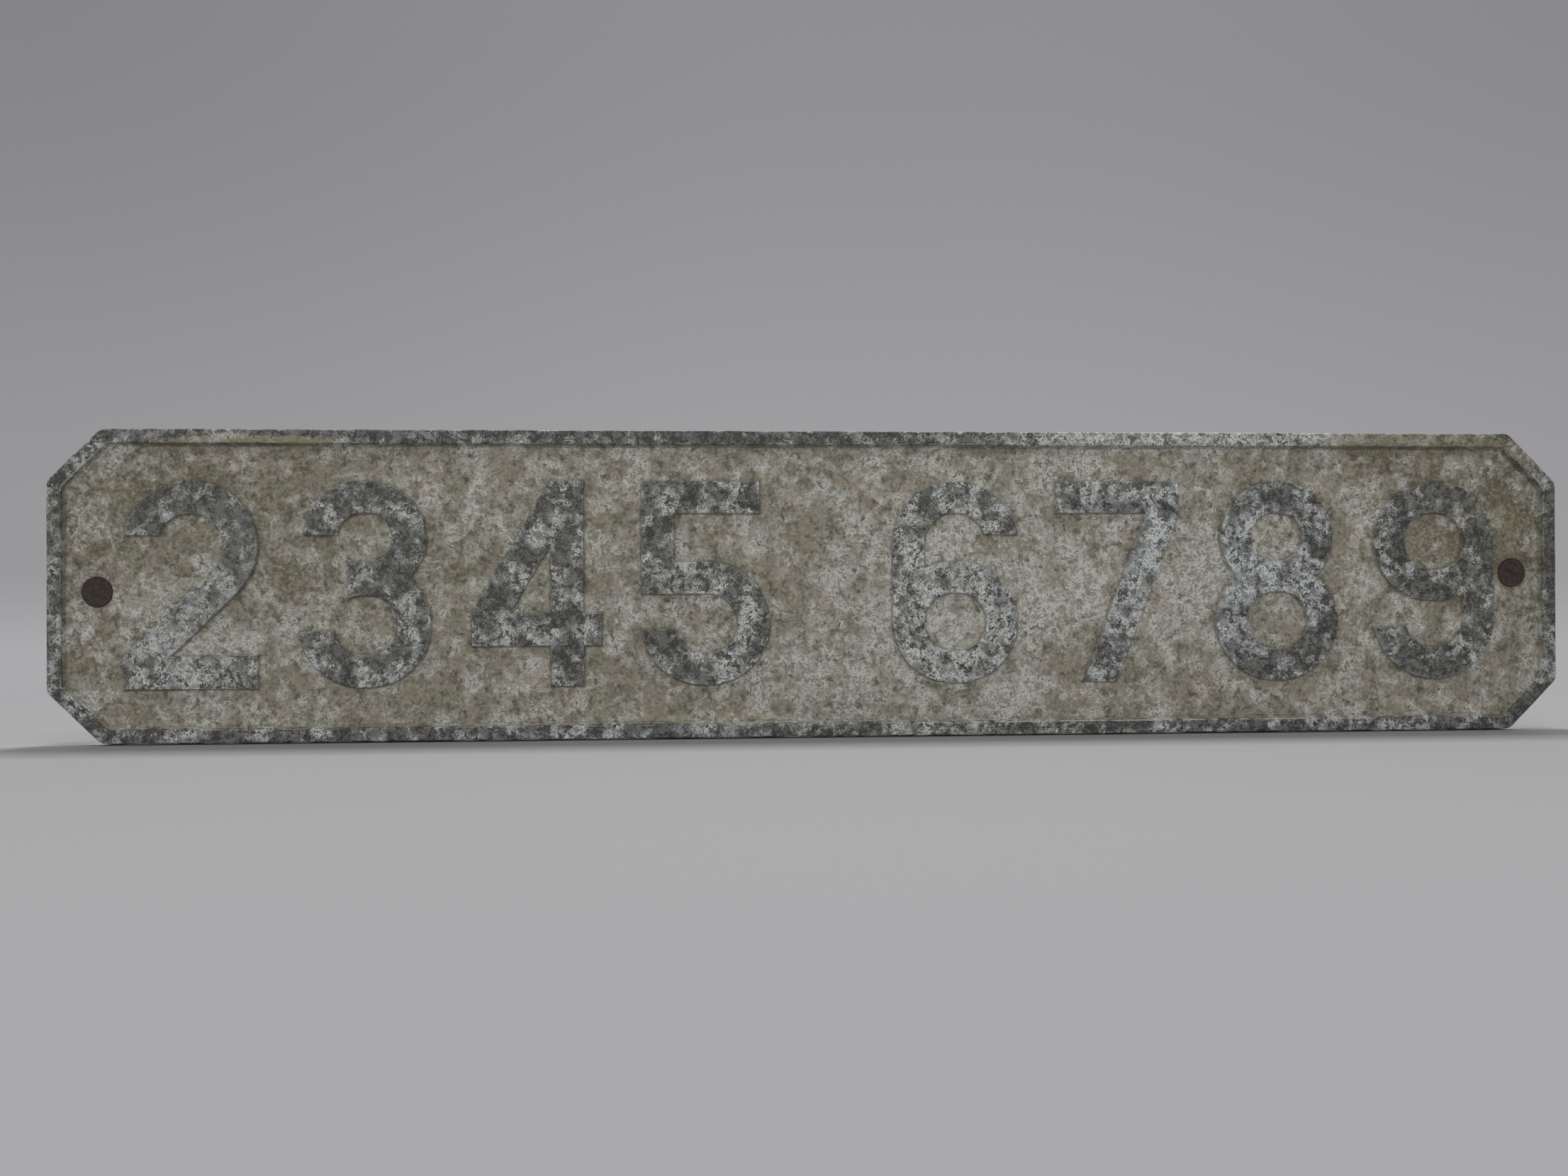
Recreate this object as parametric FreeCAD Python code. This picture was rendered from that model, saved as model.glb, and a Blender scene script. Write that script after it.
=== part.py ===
"""Cast street name plate with raised block figures and the two countersunk screws still in it.

The plate stands upright as it hangs: X runs along it, Z is up, and its face looks along -Y.
The origin is the middle of the flat back, which is the face that lies against the wall.
The plate is first shaped lying on its back with the face up, as in the mould, then stood up.
All sizes are in millimetres and all angles in degrees.
"""

import FreeCAD, Part
import math
import os

# Plate
PLATE_LENGTH = 762.0
PLATE_HEIGHT = 155.0
CORNER_CUT = 26.0
CORNER_ROUNDING = 6.0
FIELD_CORNER_ROUNDING = 3.0
FIELD_THICKNESS = 5.5
EDGE_DRAFT = 0.8

# Raised rim
RIM_WIDTH = 6.8
RIM_RELIEF = 3.0
RIM_INNER_SLOPE = 1.4
RIM_EDGE_ROUNDING = 0.9

# Raised figures
FIGURE_HEIGHT = 103.0
FIGURE_WIDTH = 65.0
UPPER_BOWL_WIDTH = 60.0
STROKE = 17.2
FIGURE_RELIEF = 2.8
FIGURE_DRAFT = 0.6
FIGURES_ABOVE_MIDDLE = 0.6
FIRST_FIGURE_FROM_LEFT_END = 68.5
LAST_FIGURE_FROM_RIGHT_END = 66.0
WORD_SPACE = 126.0
WAIST_HEIGHT = 54.0
LOWER_HOOK_HEIGHT = 29.0
UPPER_HOOK_DROP = 28.0
BOWL_STUB_REACH = 9.0
CROSSBAR_HEIGHT = 20.0
FOUR_STEM_INSET = 9.0
SEVEN_FOOT_SHIFT = 9.0
LEFT_GROUP = "2345"
RIGHT_GROUP = "6789"

# Countersunk screw holes
LEFT_HOLE_FROM_END = 23.5
LEFT_HOLE_BELOW_MIDDLE = 2.8
RIGHT_HOLE_FROM_END = 23.0
RIGHT_HOLE_ABOVE_MIDDLE = 4.3
SHANK_CLEARANCE = 0.9
HEAD_CLEARANCE = 0.15

# Slotted countersunk screws
HEAD_DIAMETER = 14.6
HEAD_SEAT_ANGLE = 45.0
HEAD_BAND = 0.5
HEAD_SUNK = 0.3
SHANK_DIAMETER = 7.9
SCREW_LENGTH = 31.75
TIP_CHAMFER = 0.9
SLOT_WIDTH = 1.8
SLOT_DEPTH = 1.7
LEFT_SLOT_ANGLE = 38.0
RIGHT_SLOT_ANGLE = -20.0

UP = FreeCAD.Vector(0, 0, 1)
CLOSE = 1e-6
END_SIDES = (1, 3)
FOOT_AND_HEAD_SIDES = (0, 2)
RIM_TOP = FIELD_THICKNESS + RIM_RELIEF
HEAD_TOP = FIELD_THICKNESS - HEAD_SUNK


def leaning_block(corners, height, lean, upright_sides=()):
    """Solid on convex corners given anticlockwise as (x, y), up to height.

    Each side leans inwards by lean over the height, apart from those numbered in upright_sides.
    Side 0 runs from the first corner to the second. A negative lean makes the block grow upwards.
    """
    foot = [FreeCAD.Vector(x, y, 0) for x, y in corners]
    count = len(foot)
    shifts = [0 if side in upright_sides else lean for side in range(count)]
    crown = []
    for place in range(count):
        corner = foot[place]
        arriving = (corner - foot[place - 1]).normalize()
        leaving = (foot[(place + 1) % count] - corner).normalize()
        turn = arriving.x * leaving.y - arriving.y * leaving.x
        step = leaving * shifts[place - 1] - arriving * shifts[place]
        crown.append(corner + step * (1 / turn) + UP * height)
    faces = [polygon_face(foot[::-1]), polygon_face(crown)]
    for place in range(count):
        after = (place + 1) % count
        faces.append(polygon_face([foot[place], foot[after], crown[after], crown[place]]))
    skin = Part.makeShell(faces)
    skin.sewShape()
    return Part.makeSolid(skin)


def polygon_face(points):
    """Flat face bounded by straight lines through the points."""
    return Part.Face(Part.makePolygon(points + points[:1]))


def plate_corners(inset):
    """The eight corners of the plate's outline, drawn in by inset."""
    x = PLATE_LENGTH / 2 - inset
    y = PLATE_HEIGHT / 2 - inset
    cut = CORNER_CUT - inset * (2 - math.sqrt(2))
    quarter = [(x - cut, -y), (x, -y + cut)]
    right_side = quarter + [(px, -py) for px, py in quarter[::-1]]
    return right_side + [(-px, -py) for px, py in right_side]


def rounded_block(corners, height, lean, rounding):
    """Leaning block whose upright edges are rounded."""
    block = leaning_block(corners, height, lean)
    upright = [edge for edge in block.Edges if abs(edge.Vertexes[0].Z - edge.Vertexes[1].Z) > height / 2]
    return block.makeFillet(rounding, upright)


def casting_blank():
    """Plate with its raised rim and sloping edges, before figures and holes."""
    block = rounded_block(plate_corners(0), RIM_TOP, EDGE_DRAFT, CORNER_ROUNDING)
    field_inset = EDGE_DRAFT + RIM_WIDTH + RIM_INNER_SLOPE
    hollow = rounded_block(plate_corners(field_inset), RIM_RELIEF, -RIM_INNER_SLOPE, FIELD_CORNER_ROUNDING)
    hollow.translate(UP * FIELD_THICKNESS)
    blank = block.cut(hollow)
    crest = [edge for edge in blank.Edges if edge.BoundBox.ZMin > RIM_TOP - CLOSE]
    return blank.makeFillet(RIM_EDGE_ROUNDING, crest)


def stroke_block(corners, upright_sides=()):
    """Part of a figure on the given corners, with drafted sides."""
    return leaning_block(corners, FIGURE_RELIEF, FIGURE_DRAFT, upright_sides)


def stroke_bar(left, bottom, right, top, upright_sides=()):
    """Rectangular part of a figure. Its sides in order are bottom, right, top and left."""
    return stroke_block([(left, bottom), (right, bottom), (right, top), (left, top)], upright_sides)


def opening(left, bottom, right, top, upright_sides=()):
    """Rectangular cut through a figure, widening upwards so that the walls it leaves are drafted."""
    corners = [(left, bottom), (right, bottom), (right, top), (left, top)]
    return leaning_block(corners, FIGURE_RELIEF, -FIGURE_DRAFT, upright_sides)


def oval_block(width, bottom, top, inset, lean):
    """Solid with fully rounded ends in the given box, drawn in by inset, its walls leaning by lean."""
    half_width = width / 2 - inset
    half_height = (top - bottom) / 2 - inset
    radius = min(half_width, half_height)
    reach_x = half_width - radius
    reach_y = half_height - radius
    middle = (bottom + top) / 2
    first = FreeCAD.Vector(-reach_x, middle - reach_y, 0)
    oval = Part.makeCone(radius, radius - lean, FIGURE_RELIEF, first)
    if max(reach_x, reach_y) < CLOSE:
        return oval
    second = FreeCAD.Vector(reach_x, middle + reach_y, 0)
    half = FreeCAD.Vector(reach_x or radius, reach_y or radius, 0)
    corners = [(-half.x, middle - half.y), (half.x, middle - half.y),
               (half.x, middle + half.y), (-half.x, middle + half.y)]
    ends = END_SIDES if reach_x > reach_y else FOOT_AND_HEAD_SIDES
    straight = leaning_block(corners, FIGURE_RELIEF, lean, ends)
    return oval.fuse([Part.makeCone(radius, radius - lean, FIGURE_RELIEF, second), straight])


def bowl(width, bottom, top):
    """Closed rounded stroke as wide as given, from bottom to top."""
    outside = oval_block(width, bottom, top, 0, FIGURE_DRAFT)
    return outside.cut(oval_block(width, bottom, top, STROKE, -FIGURE_DRAFT))


def lower_bowl():
    """Closed bowl from the foot to the waist."""
    return bowl(FIGURE_WIDTH, 0, WAIST_HEIGHT + STROKE / 2)


def upper_bowl():
    """Closed bowl from the waist to the top."""
    return bowl(UPPER_BOWL_WIDTH, WAIST_HEIGHT - STROKE / 2, FIGURE_HEIGHT)


def cap_ring():
    """Full ring of the figure's width at its top."""
    return bowl(FIGURE_WIDTH, FIGURE_HEIGHT - FIGURE_WIDTH, FIGURE_HEIGHT)


def two():
    """Open top bowl that runs on as a slanting stroke to a foot bar."""
    radius = FIGURE_WIDTH / 2
    inner = radius - STROKE
    centre = (0, FIGURE_HEIGHT - radius)
    heel = (-radius, STROKE)
    rise = centre[1] - heel[1]
    slant = math.atan2(rise, radius) - math.asin(inner / math.hypot(radius, rise))
    leave = slant - math.pi / 2
    touch_inner = (inner * math.cos(leave), centre[1] + inner * math.sin(leave))
    touch_outer = (radius * math.cos(leave), centre[1] + radius * math.sin(leave))
    toe = (touch_outer[0] - touch_outer[1] / math.tan(slant), 0)
    slanting = stroke_block([touch_inner, heel, (-radius, 0), toe, touch_outer], upright_sides=(4,))
    far = (FIGURE_HEIGHT * math.cos(leave), centre[1] + FIGURE_HEIGHT * math.sin(leave))
    below = leaning_block([centre, (0, -FIGURE_HEIGHT), far], FIGURE_RELIEF, 0)
    beside = opening(-FIGURE_WIDTH, -FIGURE_HEIGHT, 0, FIGURE_HEIGHT - UPPER_HOOK_DROP)
    hook = cap_ring().cut([below, beside])
    return hook.fuse([slanting, stroke_bar(-radius, 0, radius, STROKE)])


def three():
    """Two bowls open to the left, joined by a short stub at the waist."""
    hook_end = FIGURE_HEIGHT - UPPER_HOOK_DROP
    return eight().cut(opening(-FIGURE_WIDTH, LOWER_HOOK_HEIGHT, -BOWL_STUB_REACH, hook_end))


def four():
    """Slanting stroke, crossbar and upright stem round a three-cornered gap."""
    right = FIGURE_WIDTH / 2
    stem_right = right - FOUR_STEM_INSET
    stem_left = stem_right - STROKE
    bar_top = CROSSBAR_HEIGHT + STROKE
    slant = math.atan2(FIGURE_HEIGHT - bar_top, stem_left + right)
    slanting = stroke_block(
        [
            (-right, CROSSBAR_HEIGHT),
            (stem_right, CROSSBAR_HEIGHT),
            (stem_right, FIGURE_HEIGHT),
            (stem_left, FIGURE_HEIGHT),
            (-right, bar_top),
        ]
    )
    gap = [
        (-right + STROKE / math.sin(slant), bar_top),
        (stem_left, bar_top),
        (stem_left, FIGURE_HEIGHT - STROKE / math.cos(slant)),
    ]
    stem = stroke_bar(stem_left, 0, stem_right, FIGURE_HEIGHT)
    crossbar = stroke_bar(-right, CROSSBAR_HEIGHT, right, bar_top)
    return slanting.fuse([stem, crossbar]).cut(leaning_block(gap, FIGURE_RELIEF, -FIGURE_DRAFT))


def five():
    """Top bar, short stem and a bowl open to the left."""
    left = -FIGURE_WIDTH / 2
    waist_under = WAIST_HEIGHT - STROKE / 2
    hook = lower_bowl().cut(opening(-FIGURE_WIDTH, LOWER_HOOK_HEIGHT, 0, waist_under))
    shoulder = stroke_bar(left, waist_under, 0, waist_under + STROKE)
    stem = stroke_bar(left, waist_under, left + STROKE, FIGURE_HEIGHT)
    top_bar = stroke_bar(left, FIGURE_HEIGHT - STROKE, left + UPPER_BOWL_WIDTH, FIGURE_HEIGHT)
    return hook.fuse([shoulder, stem, top_bar])


def six():
    """Closed bowl at the foot, with a side that runs up into a hook."""
    left = -FIGURE_WIDTH / 2
    cap_middle = FIGURE_HEIGHT + left
    bowl_middle = (WAIST_HEIGHT + STROKE / 2) / 2
    side = stroke_bar(left, bowl_middle, left + STROKE, cap_middle, FOOT_AND_HEAD_SIDES)
    under_cap = opening(-FIGURE_WIDTH, -FIGURE_HEIGHT, FIGURE_WIDTH, cap_middle, FOOT_AND_HEAD_SIDES)
    beside = opening(0, 0, FIGURE_WIDTH, FIGURE_HEIGHT - UPPER_HOOK_DROP)
    return cap_ring().cut([under_cap, beside]).fuse([side, lower_bowl()])


def seven():
    """Top bar with a slanting stroke down to the foot."""
    right = FIGURE_WIDTH / 2
    foot = -SEVEN_FOOT_SHIFT
    bar_under = FIGURE_HEIGHT - STROKE
    slant = math.atan2(bar_under, right - STROKE / 2 - foot)
    level_width = STROKE / math.sin(slant)
    foot_right = right - bar_under / math.tan(slant)
    slanting = stroke_block(
        [
            (foot_right - level_width, 0),
            (foot_right, 0),
            (right, bar_under),
            (right, FIGURE_HEIGHT),
            (foot_right - level_width + FIGURE_HEIGHT / math.tan(slant), FIGURE_HEIGHT),
        ]
    )
    return stroke_bar(-right, bar_under, right, FIGURE_HEIGHT).fuse(slanting)


def eight():
    """Two closed bowls, one on the other."""
    return lower_bowl().fuse(upper_bowl())


def nine():
    """A six turned upside down about the middle of its height."""
    return six().rotate(FreeCAD.Vector(0, FIGURE_HEIGHT / 2, 0), UP, 180)


FIGURES = {"2": two, "3": three, "4": four, "5": five, "6": six, "7": seven, "8": eight, "9": nine}


def placed_figures():
    """Both groups of figures on the field, evenly pitched inwards from the two ends of the plate."""
    first = -PLATE_LENGTH / 2 + FIRST_FIGURE_FROM_LEFT_END
    last = PLATE_LENGTH / 2 - LAST_FIGURE_FROM_RIGHT_END
    pitch = (last - first - WORD_SPACE) / (len(LEFT_GROUP) + len(RIGHT_GROUP) - 2)
    places = [first + pitch * place for place in range(len(LEFT_GROUP))]
    places += [last - pitch * place for place in reversed(range(len(RIGHT_GROUP)))]
    foot = FIGURES_ABOVE_MIDDLE - FIGURE_HEIGHT / 2
    solids = []
    for name, x in zip(LEFT_GROUP + RIGHT_GROUP, places):
        figure = FIGURES[name]().removeSplitter()
        figure.translate(FreeCAD.Vector(x, foot, FIELD_THICKNESS))
        solids += figure.Solids
    return solids


def turned(profile, centre):
    """Solid turned round an upright axis at centre from its (radius, height) profile."""
    points = [FreeCAD.Vector(radius, 0, height) for radius, height in profile]
    solid = Part.Face(Part.makePolygon(points + points[:1])).revolve(FreeCAD.Vector(), UP, 360)
    solid.translate(centre)
    return solid


def countersunk_hole(centre):
    """Room for one screw: parallel to its head all round, and a plain hole through to the back."""
    mouth = HEAD_DIAMETER / 2 + HEAD_CLEARANCE
    bore = SHANK_DIAMETER / 2 + SHANK_CLEARANCE
    cone_depth = (mouth - bore) / math.tan(math.radians(HEAD_SEAT_ANGLE))
    seat_top = HEAD_TOP - HEAD_BAND
    profile = [
        (0, RIM_TOP),
        (mouth, RIM_TOP),
        (mouth, seat_top),
        (bore, seat_top - cone_depth),
        (bore, -FIELD_THICKNESS),
        (0, -FIELD_THICKNESS),
    ]
    return turned(profile, centre)


def slotted_screw(centre, slot_angle):
    """Countersunk screw with its head just below the field and its slot turned by slot_angle."""
    head = HEAD_DIAMETER / 2
    shank = SHANK_DIAMETER / 2
    cone_depth = (head - shank) / math.tan(math.radians(HEAD_SEAT_ANGLE))
    seat_top = HEAD_TOP - HEAD_BAND
    tip = HEAD_TOP - SCREW_LENGTH
    profile = [
        (0, HEAD_TOP),
        (head, HEAD_TOP),
        (head, seat_top),
        (shank, seat_top - cone_depth),
        (shank, tip + TIP_CHAMFER),
        (shank - TIP_CHAMFER, tip),
        (0, tip),
    ]
    slot = Part.makeBox(HEAD_DIAMETER * 2, SLOT_WIDTH, SLOT_DEPTH * 2)
    slot.translate(FreeCAD.Vector(-HEAD_DIAMETER, -SLOT_WIDTH / 2, HEAD_TOP - SLOT_DEPTH))
    slot.rotate(FreeCAD.Vector(), UP, slot_angle)
    slot.translate(centre)
    return turned(profile, centre).cut(slot)


def stood_up(shape):
    """The shape turned from lying on its back to hanging upright, facing -Y."""
    return shape.rotate(FreeCAD.Vector(), FreeCAD.Vector(1, 0, 0), 90)


def write_node(name, shape):
    """Write one named piece to its own STEP file."""
    shape.exportStep(f"parts/{name}.step")


def main():
    """Build the casting and its two screws and write them out."""
    left_hole = FreeCAD.Vector(-PLATE_LENGTH / 2 + LEFT_HOLE_FROM_END, -LEFT_HOLE_BELOW_MIDDLE, 0)
    right_hole = FreeCAD.Vector(PLATE_LENGTH / 2 - RIGHT_HOLE_FROM_END, RIGHT_HOLE_ABOVE_MIDDLE, 0)
    plate = casting_blank().fuse(placed_figures())
    plate = plate.cut([countersunk_hole(left_hole), countersunk_hole(right_hole)]).removeSplitter()
    screws = [slotted_screw(left_hole, LEFT_SLOT_ANGLE), slotted_screw(right_hole, RIGHT_SLOT_ANGLE)]
    os.makedirs("parts", exist_ok=True)
    write_node("name_plate", stood_up(plate.Solids[0]))
    write_node("fixing_screws", Part.makeCompound([stood_up(screw) for screw in screws]))


if __name__ == "__main__":
    main()
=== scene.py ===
"""Dressed model of a cast street name plate with its two rusted screws, standing on a pale floor.

Blender objects are in metres in the row frame: X runs along the plate, Z is up and its face looks along -Y.
The shape classes work in millimetres, and hand their meshes over in metres.
"""

import logging
import math
from dataclasses import dataclass, field, replace
from enum import Enum
from typing import Callable, Iterable, Sequence

import bmesh
import bpy
import numpy as np
from mathutils import Matrix, Vector
from mathutils.geometry import delaunay_2d_cdt


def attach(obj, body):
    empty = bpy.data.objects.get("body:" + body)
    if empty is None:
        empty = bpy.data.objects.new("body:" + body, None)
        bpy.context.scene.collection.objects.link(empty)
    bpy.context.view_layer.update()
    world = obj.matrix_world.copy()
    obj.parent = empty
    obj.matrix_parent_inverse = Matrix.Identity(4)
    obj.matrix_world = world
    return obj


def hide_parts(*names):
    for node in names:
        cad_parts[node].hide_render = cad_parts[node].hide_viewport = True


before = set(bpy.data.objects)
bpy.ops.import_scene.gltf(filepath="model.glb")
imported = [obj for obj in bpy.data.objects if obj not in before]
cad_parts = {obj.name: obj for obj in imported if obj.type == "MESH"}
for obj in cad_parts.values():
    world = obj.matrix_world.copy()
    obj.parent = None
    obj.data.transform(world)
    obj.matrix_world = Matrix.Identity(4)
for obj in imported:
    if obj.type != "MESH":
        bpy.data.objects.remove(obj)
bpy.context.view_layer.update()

MM = 0.001
PHOTO_WIDTH = 2212
BODY = "root"

# Cells along a swell's lattice, pieces of an outline's corner and points of a circle
LATTICE = 256
ARC_STEPS = 5
CIRCLE_POINTS = 48

# Depth of a finish's relief, and how far a noise's pattern is moved for a shift of 1, in millimetres
RELIEF_DEPTH = 0.3
NOISE_STEP = (317.3, 0.0, 173.9)

# Ends of every section line, well outside and well inside its bends, in millimetres
BEFORE, BEYOND = -3.0, 4.0

Array = np.ndarray
Point = tuple[float, float]
Side = tuple[int, int, int]
Skin = tuple[Array, Array]
Colour = tuple[float, float, float, float]
log = logging.getLogger("name_plate_scene")


class Slot(Enum):
    """The record's material slots."""

    CASTING = "painted_casting"
    SCREW = "rusted_steel"


class Numeral(Enum):
    """The block figures on the plate, in their order from left to right."""

    TWO = 2
    THREE = 3
    FOUR = 4
    FIVE = 5
    SIX = 6
    SEVEN = 7
    EIGHT = 8
    NINE = 9


# Plane geometry


def swell(x: Array, z: Array, size: float, seed: int) -> Array:
    """Smooth random swell over the plane, between -1 and 1.

    Args:
        x: Distances along the plate.
        z: Heights.
        size: Spacing of the swell's lattice.
        seed: Seed of the lattice.

    Returns:
        The swell at each place.
    """
    lattice = np.random.default_rng(seed).uniform(-1.0, 1.0, (LATTICE, LATTICE))
    u, v = x / size, z / size
    column, row = np.floor(u).astype(int), np.floor(v).astype(int)
    across, up = (share * share * (3 - 2 * share) for share in (u - column, v - row))
    lower, upper = (
        lattice[column % LATTICE, (row + above) % LATTICE] * (1 - across)
        + lattice[(column + 1) % LATTICE, (row + above) % LATTICE] * across
        for above in (0, 1)
    )
    return lower * (1 - up) + upper * up


def eased(path: Sequence[Point], radii: Sequence[float], steps: int = 4) -> Array:
    """Section line with its inner corners rounded.

    Args:
        path: Corners of the section, in order.
        radii: Rounding radius of each inner corner.
        steps: Pieces that each rounding is divided into.

    Returns:
        Points of the rounded line, one row each.
    """
    corners = np.array(path, float)
    points = [corners[0]]
    for before, corner, after, radius in zip(corners, corners[1:], corners[2:], radii):
        arriving = (corner - before) / np.linalg.norm(corner - before)
        leaving = (after - corner) / np.linalg.norm(after - corner)
        turn = math.acos(float(np.clip(arriving @ leaving, -1, 1)))
        run = radius * math.tan(turn / 2)
        start = corner - arriving * run
        side = np.array([-arriving[1], arriving[0]])
        side *= math.copysign(1.0, float(side @ leaving))
        for step in range(steps + 1):
            angle = turn * step / steps
            points.append(start + radius * (arriving * math.sin(angle) + side * (1 - math.cos(angle))))
    return np.array([*points, corners[-1]])


def divided(loop: Array, spacing: float) -> Array:
    """Closed loop with its long edges divided to at most the spacing.

    Args:
        loop: Points of the loop, one row each.
        spacing: Largest length of an edge.

    Returns:
        The points with those put between them.
    """
    points = []
    for start, end in zip(loop, np.roll(loop, -1, axis=0)):
        count = max(1, math.ceil(float(np.linalg.norm(end - start)) / spacing))
        points += [start + (end - start) * step / count for step in range(count)]
    return np.array(points)


def thinned(loop: Array, tolerance: float) -> Array:
    """Closed loop less the points that its shape can do without.

    Args:
        loop: Points of the loop, one row each.
        tolerance: Largest distance that the shape may move.

    Returns:
        The points that are kept.
    """
    far = int(np.argmax(np.linalg.norm(loop - loop[0], axis=1)))
    line = np.vstack([loop, loop[:1]])
    keep = {0, far}
    spans = [(0, far), (far, len(loop))]
    while spans:
        first, last = spans.pop()
        if last - first < 2:
            continue
        along = line[last] - line[first]
        offsets = line[first + 1:last] - line[first]
        length = max(float(np.linalg.norm(along)), 1e-9)
        away = np.abs(offsets[:, 0] * along[1] - offsets[:, 1] * along[0]) / length
        worst = int(np.argmax(away))
        if away[worst] > tolerance:
            middle = first + 1 + worst
            keep.add(middle)
            spans += [(first, middle), (middle, last)]
    return loop[sorted(keep)]


def level_loops(values: Array, origin: Point, step: float, level: float) -> list[Array]:
    """Closed lines on which a gridded quantity has one value.

    Args:
        values: The quantity at grid points, indexed by column and row.
        origin: Place of the grid's first point.
        step: Spacing of the grid.
        level: The value that the lines follow.

    Returns:
        One array of points for each closed line.
    """
    low = values < level
    cell = low[:-1, :-1]
    same = (cell == low[1:, :-1]) & (cell == low[1:, 1:]) & (cell == low[:-1, 1:])
    links: dict[Side, list[Side]] = {}
    for i, j in zip(*(axis.tolist() for axis in np.nonzero(~same))):
        states = (low[i, j], low[i + 1, j], low[i + 1, j + 1], low[i, j + 1])
        sides = ((i, j, 0), (i + 1, j, 1), (i, j + 1, 0), (i, j, 1))
        pairs = [[side for n, side in enumerate(sides) if states[n] != states[(n + 1) % 4]]]
        if len(pairs[0]) == 4:
            middle_low = values[i:i + 2, j:j + 2].mean() < level
            a, b, c, d = sides if states[0] == middle_low else sides[3:] + sides[:3]
            pairs = [[a, b], [c, d]]
        for one, other in pairs:
            links.setdefault(one, []).append(other)
            links.setdefault(other, []).append(one)
    loops = []
    while links:
        here, chain = next(iter(links)), []
        while here in links:
            chain.append(here)
            ways = links.pop(here)
            here = next((way for way in ways if way in links), here)
        points = []
        for i, j, upright in chain:
            start, end = values[i, j], values[i + (1 - upright), j + upright]
            share = (level - start) / (end - start)
            points.append((i + share * (1 - upright), j + share * upright))
        loops.append(np.array(origin) + step * np.array(points))
    return loops


def lifted(flat: Array, height: Array | float) -> Array:
    """Flat points of the plate's plane as corners at a height over its back."""
    return np.stack([flat[:, 0], np.broadcast_to(-height, len(flat)), flat[:, 1]], 1)


@dataclass(frozen=True)
class ClippedOutline:
    """Rectangle with clipped, rounded corners, as one convex outline."""

    length: float
    height: float
    cut: float
    inset: float
    rounding: float

    def core(self) -> Array:
        """Corners of the outline drawn in by its inset and rounding, anticlockwise.

        Returns:
            One corner in each row.
        """
        drawn = self.inset + self.rounding
        x, z = self.length / 2 - drawn, self.height / 2 - drawn
        cut = self.cut - drawn * (2 - math.sqrt(2))
        quarter = [(x - cut, -z), (x, -z + cut)]
        right = quarter + [(px, -pz) for px, pz in quarter[::-1]]
        return np.array(right + [(-px, -pz) for px, pz in right])

    def distance(self, x: Array, z: Array) -> Array:
        """Distance of each place from the outline, negative inside.

        Args:
            x: Distances along the plate.
            z: Heights.

        Returns:
            One distance for each place.
        """
        corners = self.core()
        nearest = np.full(np.shape(x), np.inf)
        inside = np.ones(np.shape(x), bool)
        for start, end in zip(corners, np.roll(corners, -1, axis=0)):
            along = end - start
            px, pz = x - start[0], z - start[1]
            share = np.clip((px * along[0] + pz * along[1]) / (along @ along), 0, 1)
            nearest = np.minimum(nearest, np.hypot(px - share * along[0], pz - share * along[1]))
            inside &= along[0] * pz - along[1] * px >= 0
        return np.where(inside, -nearest, nearest) - self.rounding

    def loop(self, level: float, spacing: float) -> Array:
        """Closed line at one distance from the outline, with the same number of points at any level.

        Args:
            level: Distance from the outline, negative inside.
            spacing: Largest distance between points on the straight sides.

        Returns:
            Points of the line, anticlockwise.
        """
        corners = self.core()
        radius = self.rounding + level
        points = []
        for before, corner, after in zip(np.roll(corners, 1, axis=0), corners, np.roll(corners, -1, axis=0)):
            first, last = (math.atan2(-run[0], run[1]) for run in (corner - before, after - corner))
            turn = (last - first) % (2 * math.pi)
            arc = [first + turn * step / ARC_STEPS for step in range(ARC_STEPS + 1)]
            points += [corner + radius * np.array([math.cos(angle), math.sin(angle)]) for angle in arc]
            run = after - corner
            count = math.ceil(float(np.linalg.norm(run)) / spacing)
            normal = radius * np.array([math.cos(last), math.sin(last)])
            points += [corner + run * step / count + normal for step in range(1, count)]
        return np.array(points)


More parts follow.
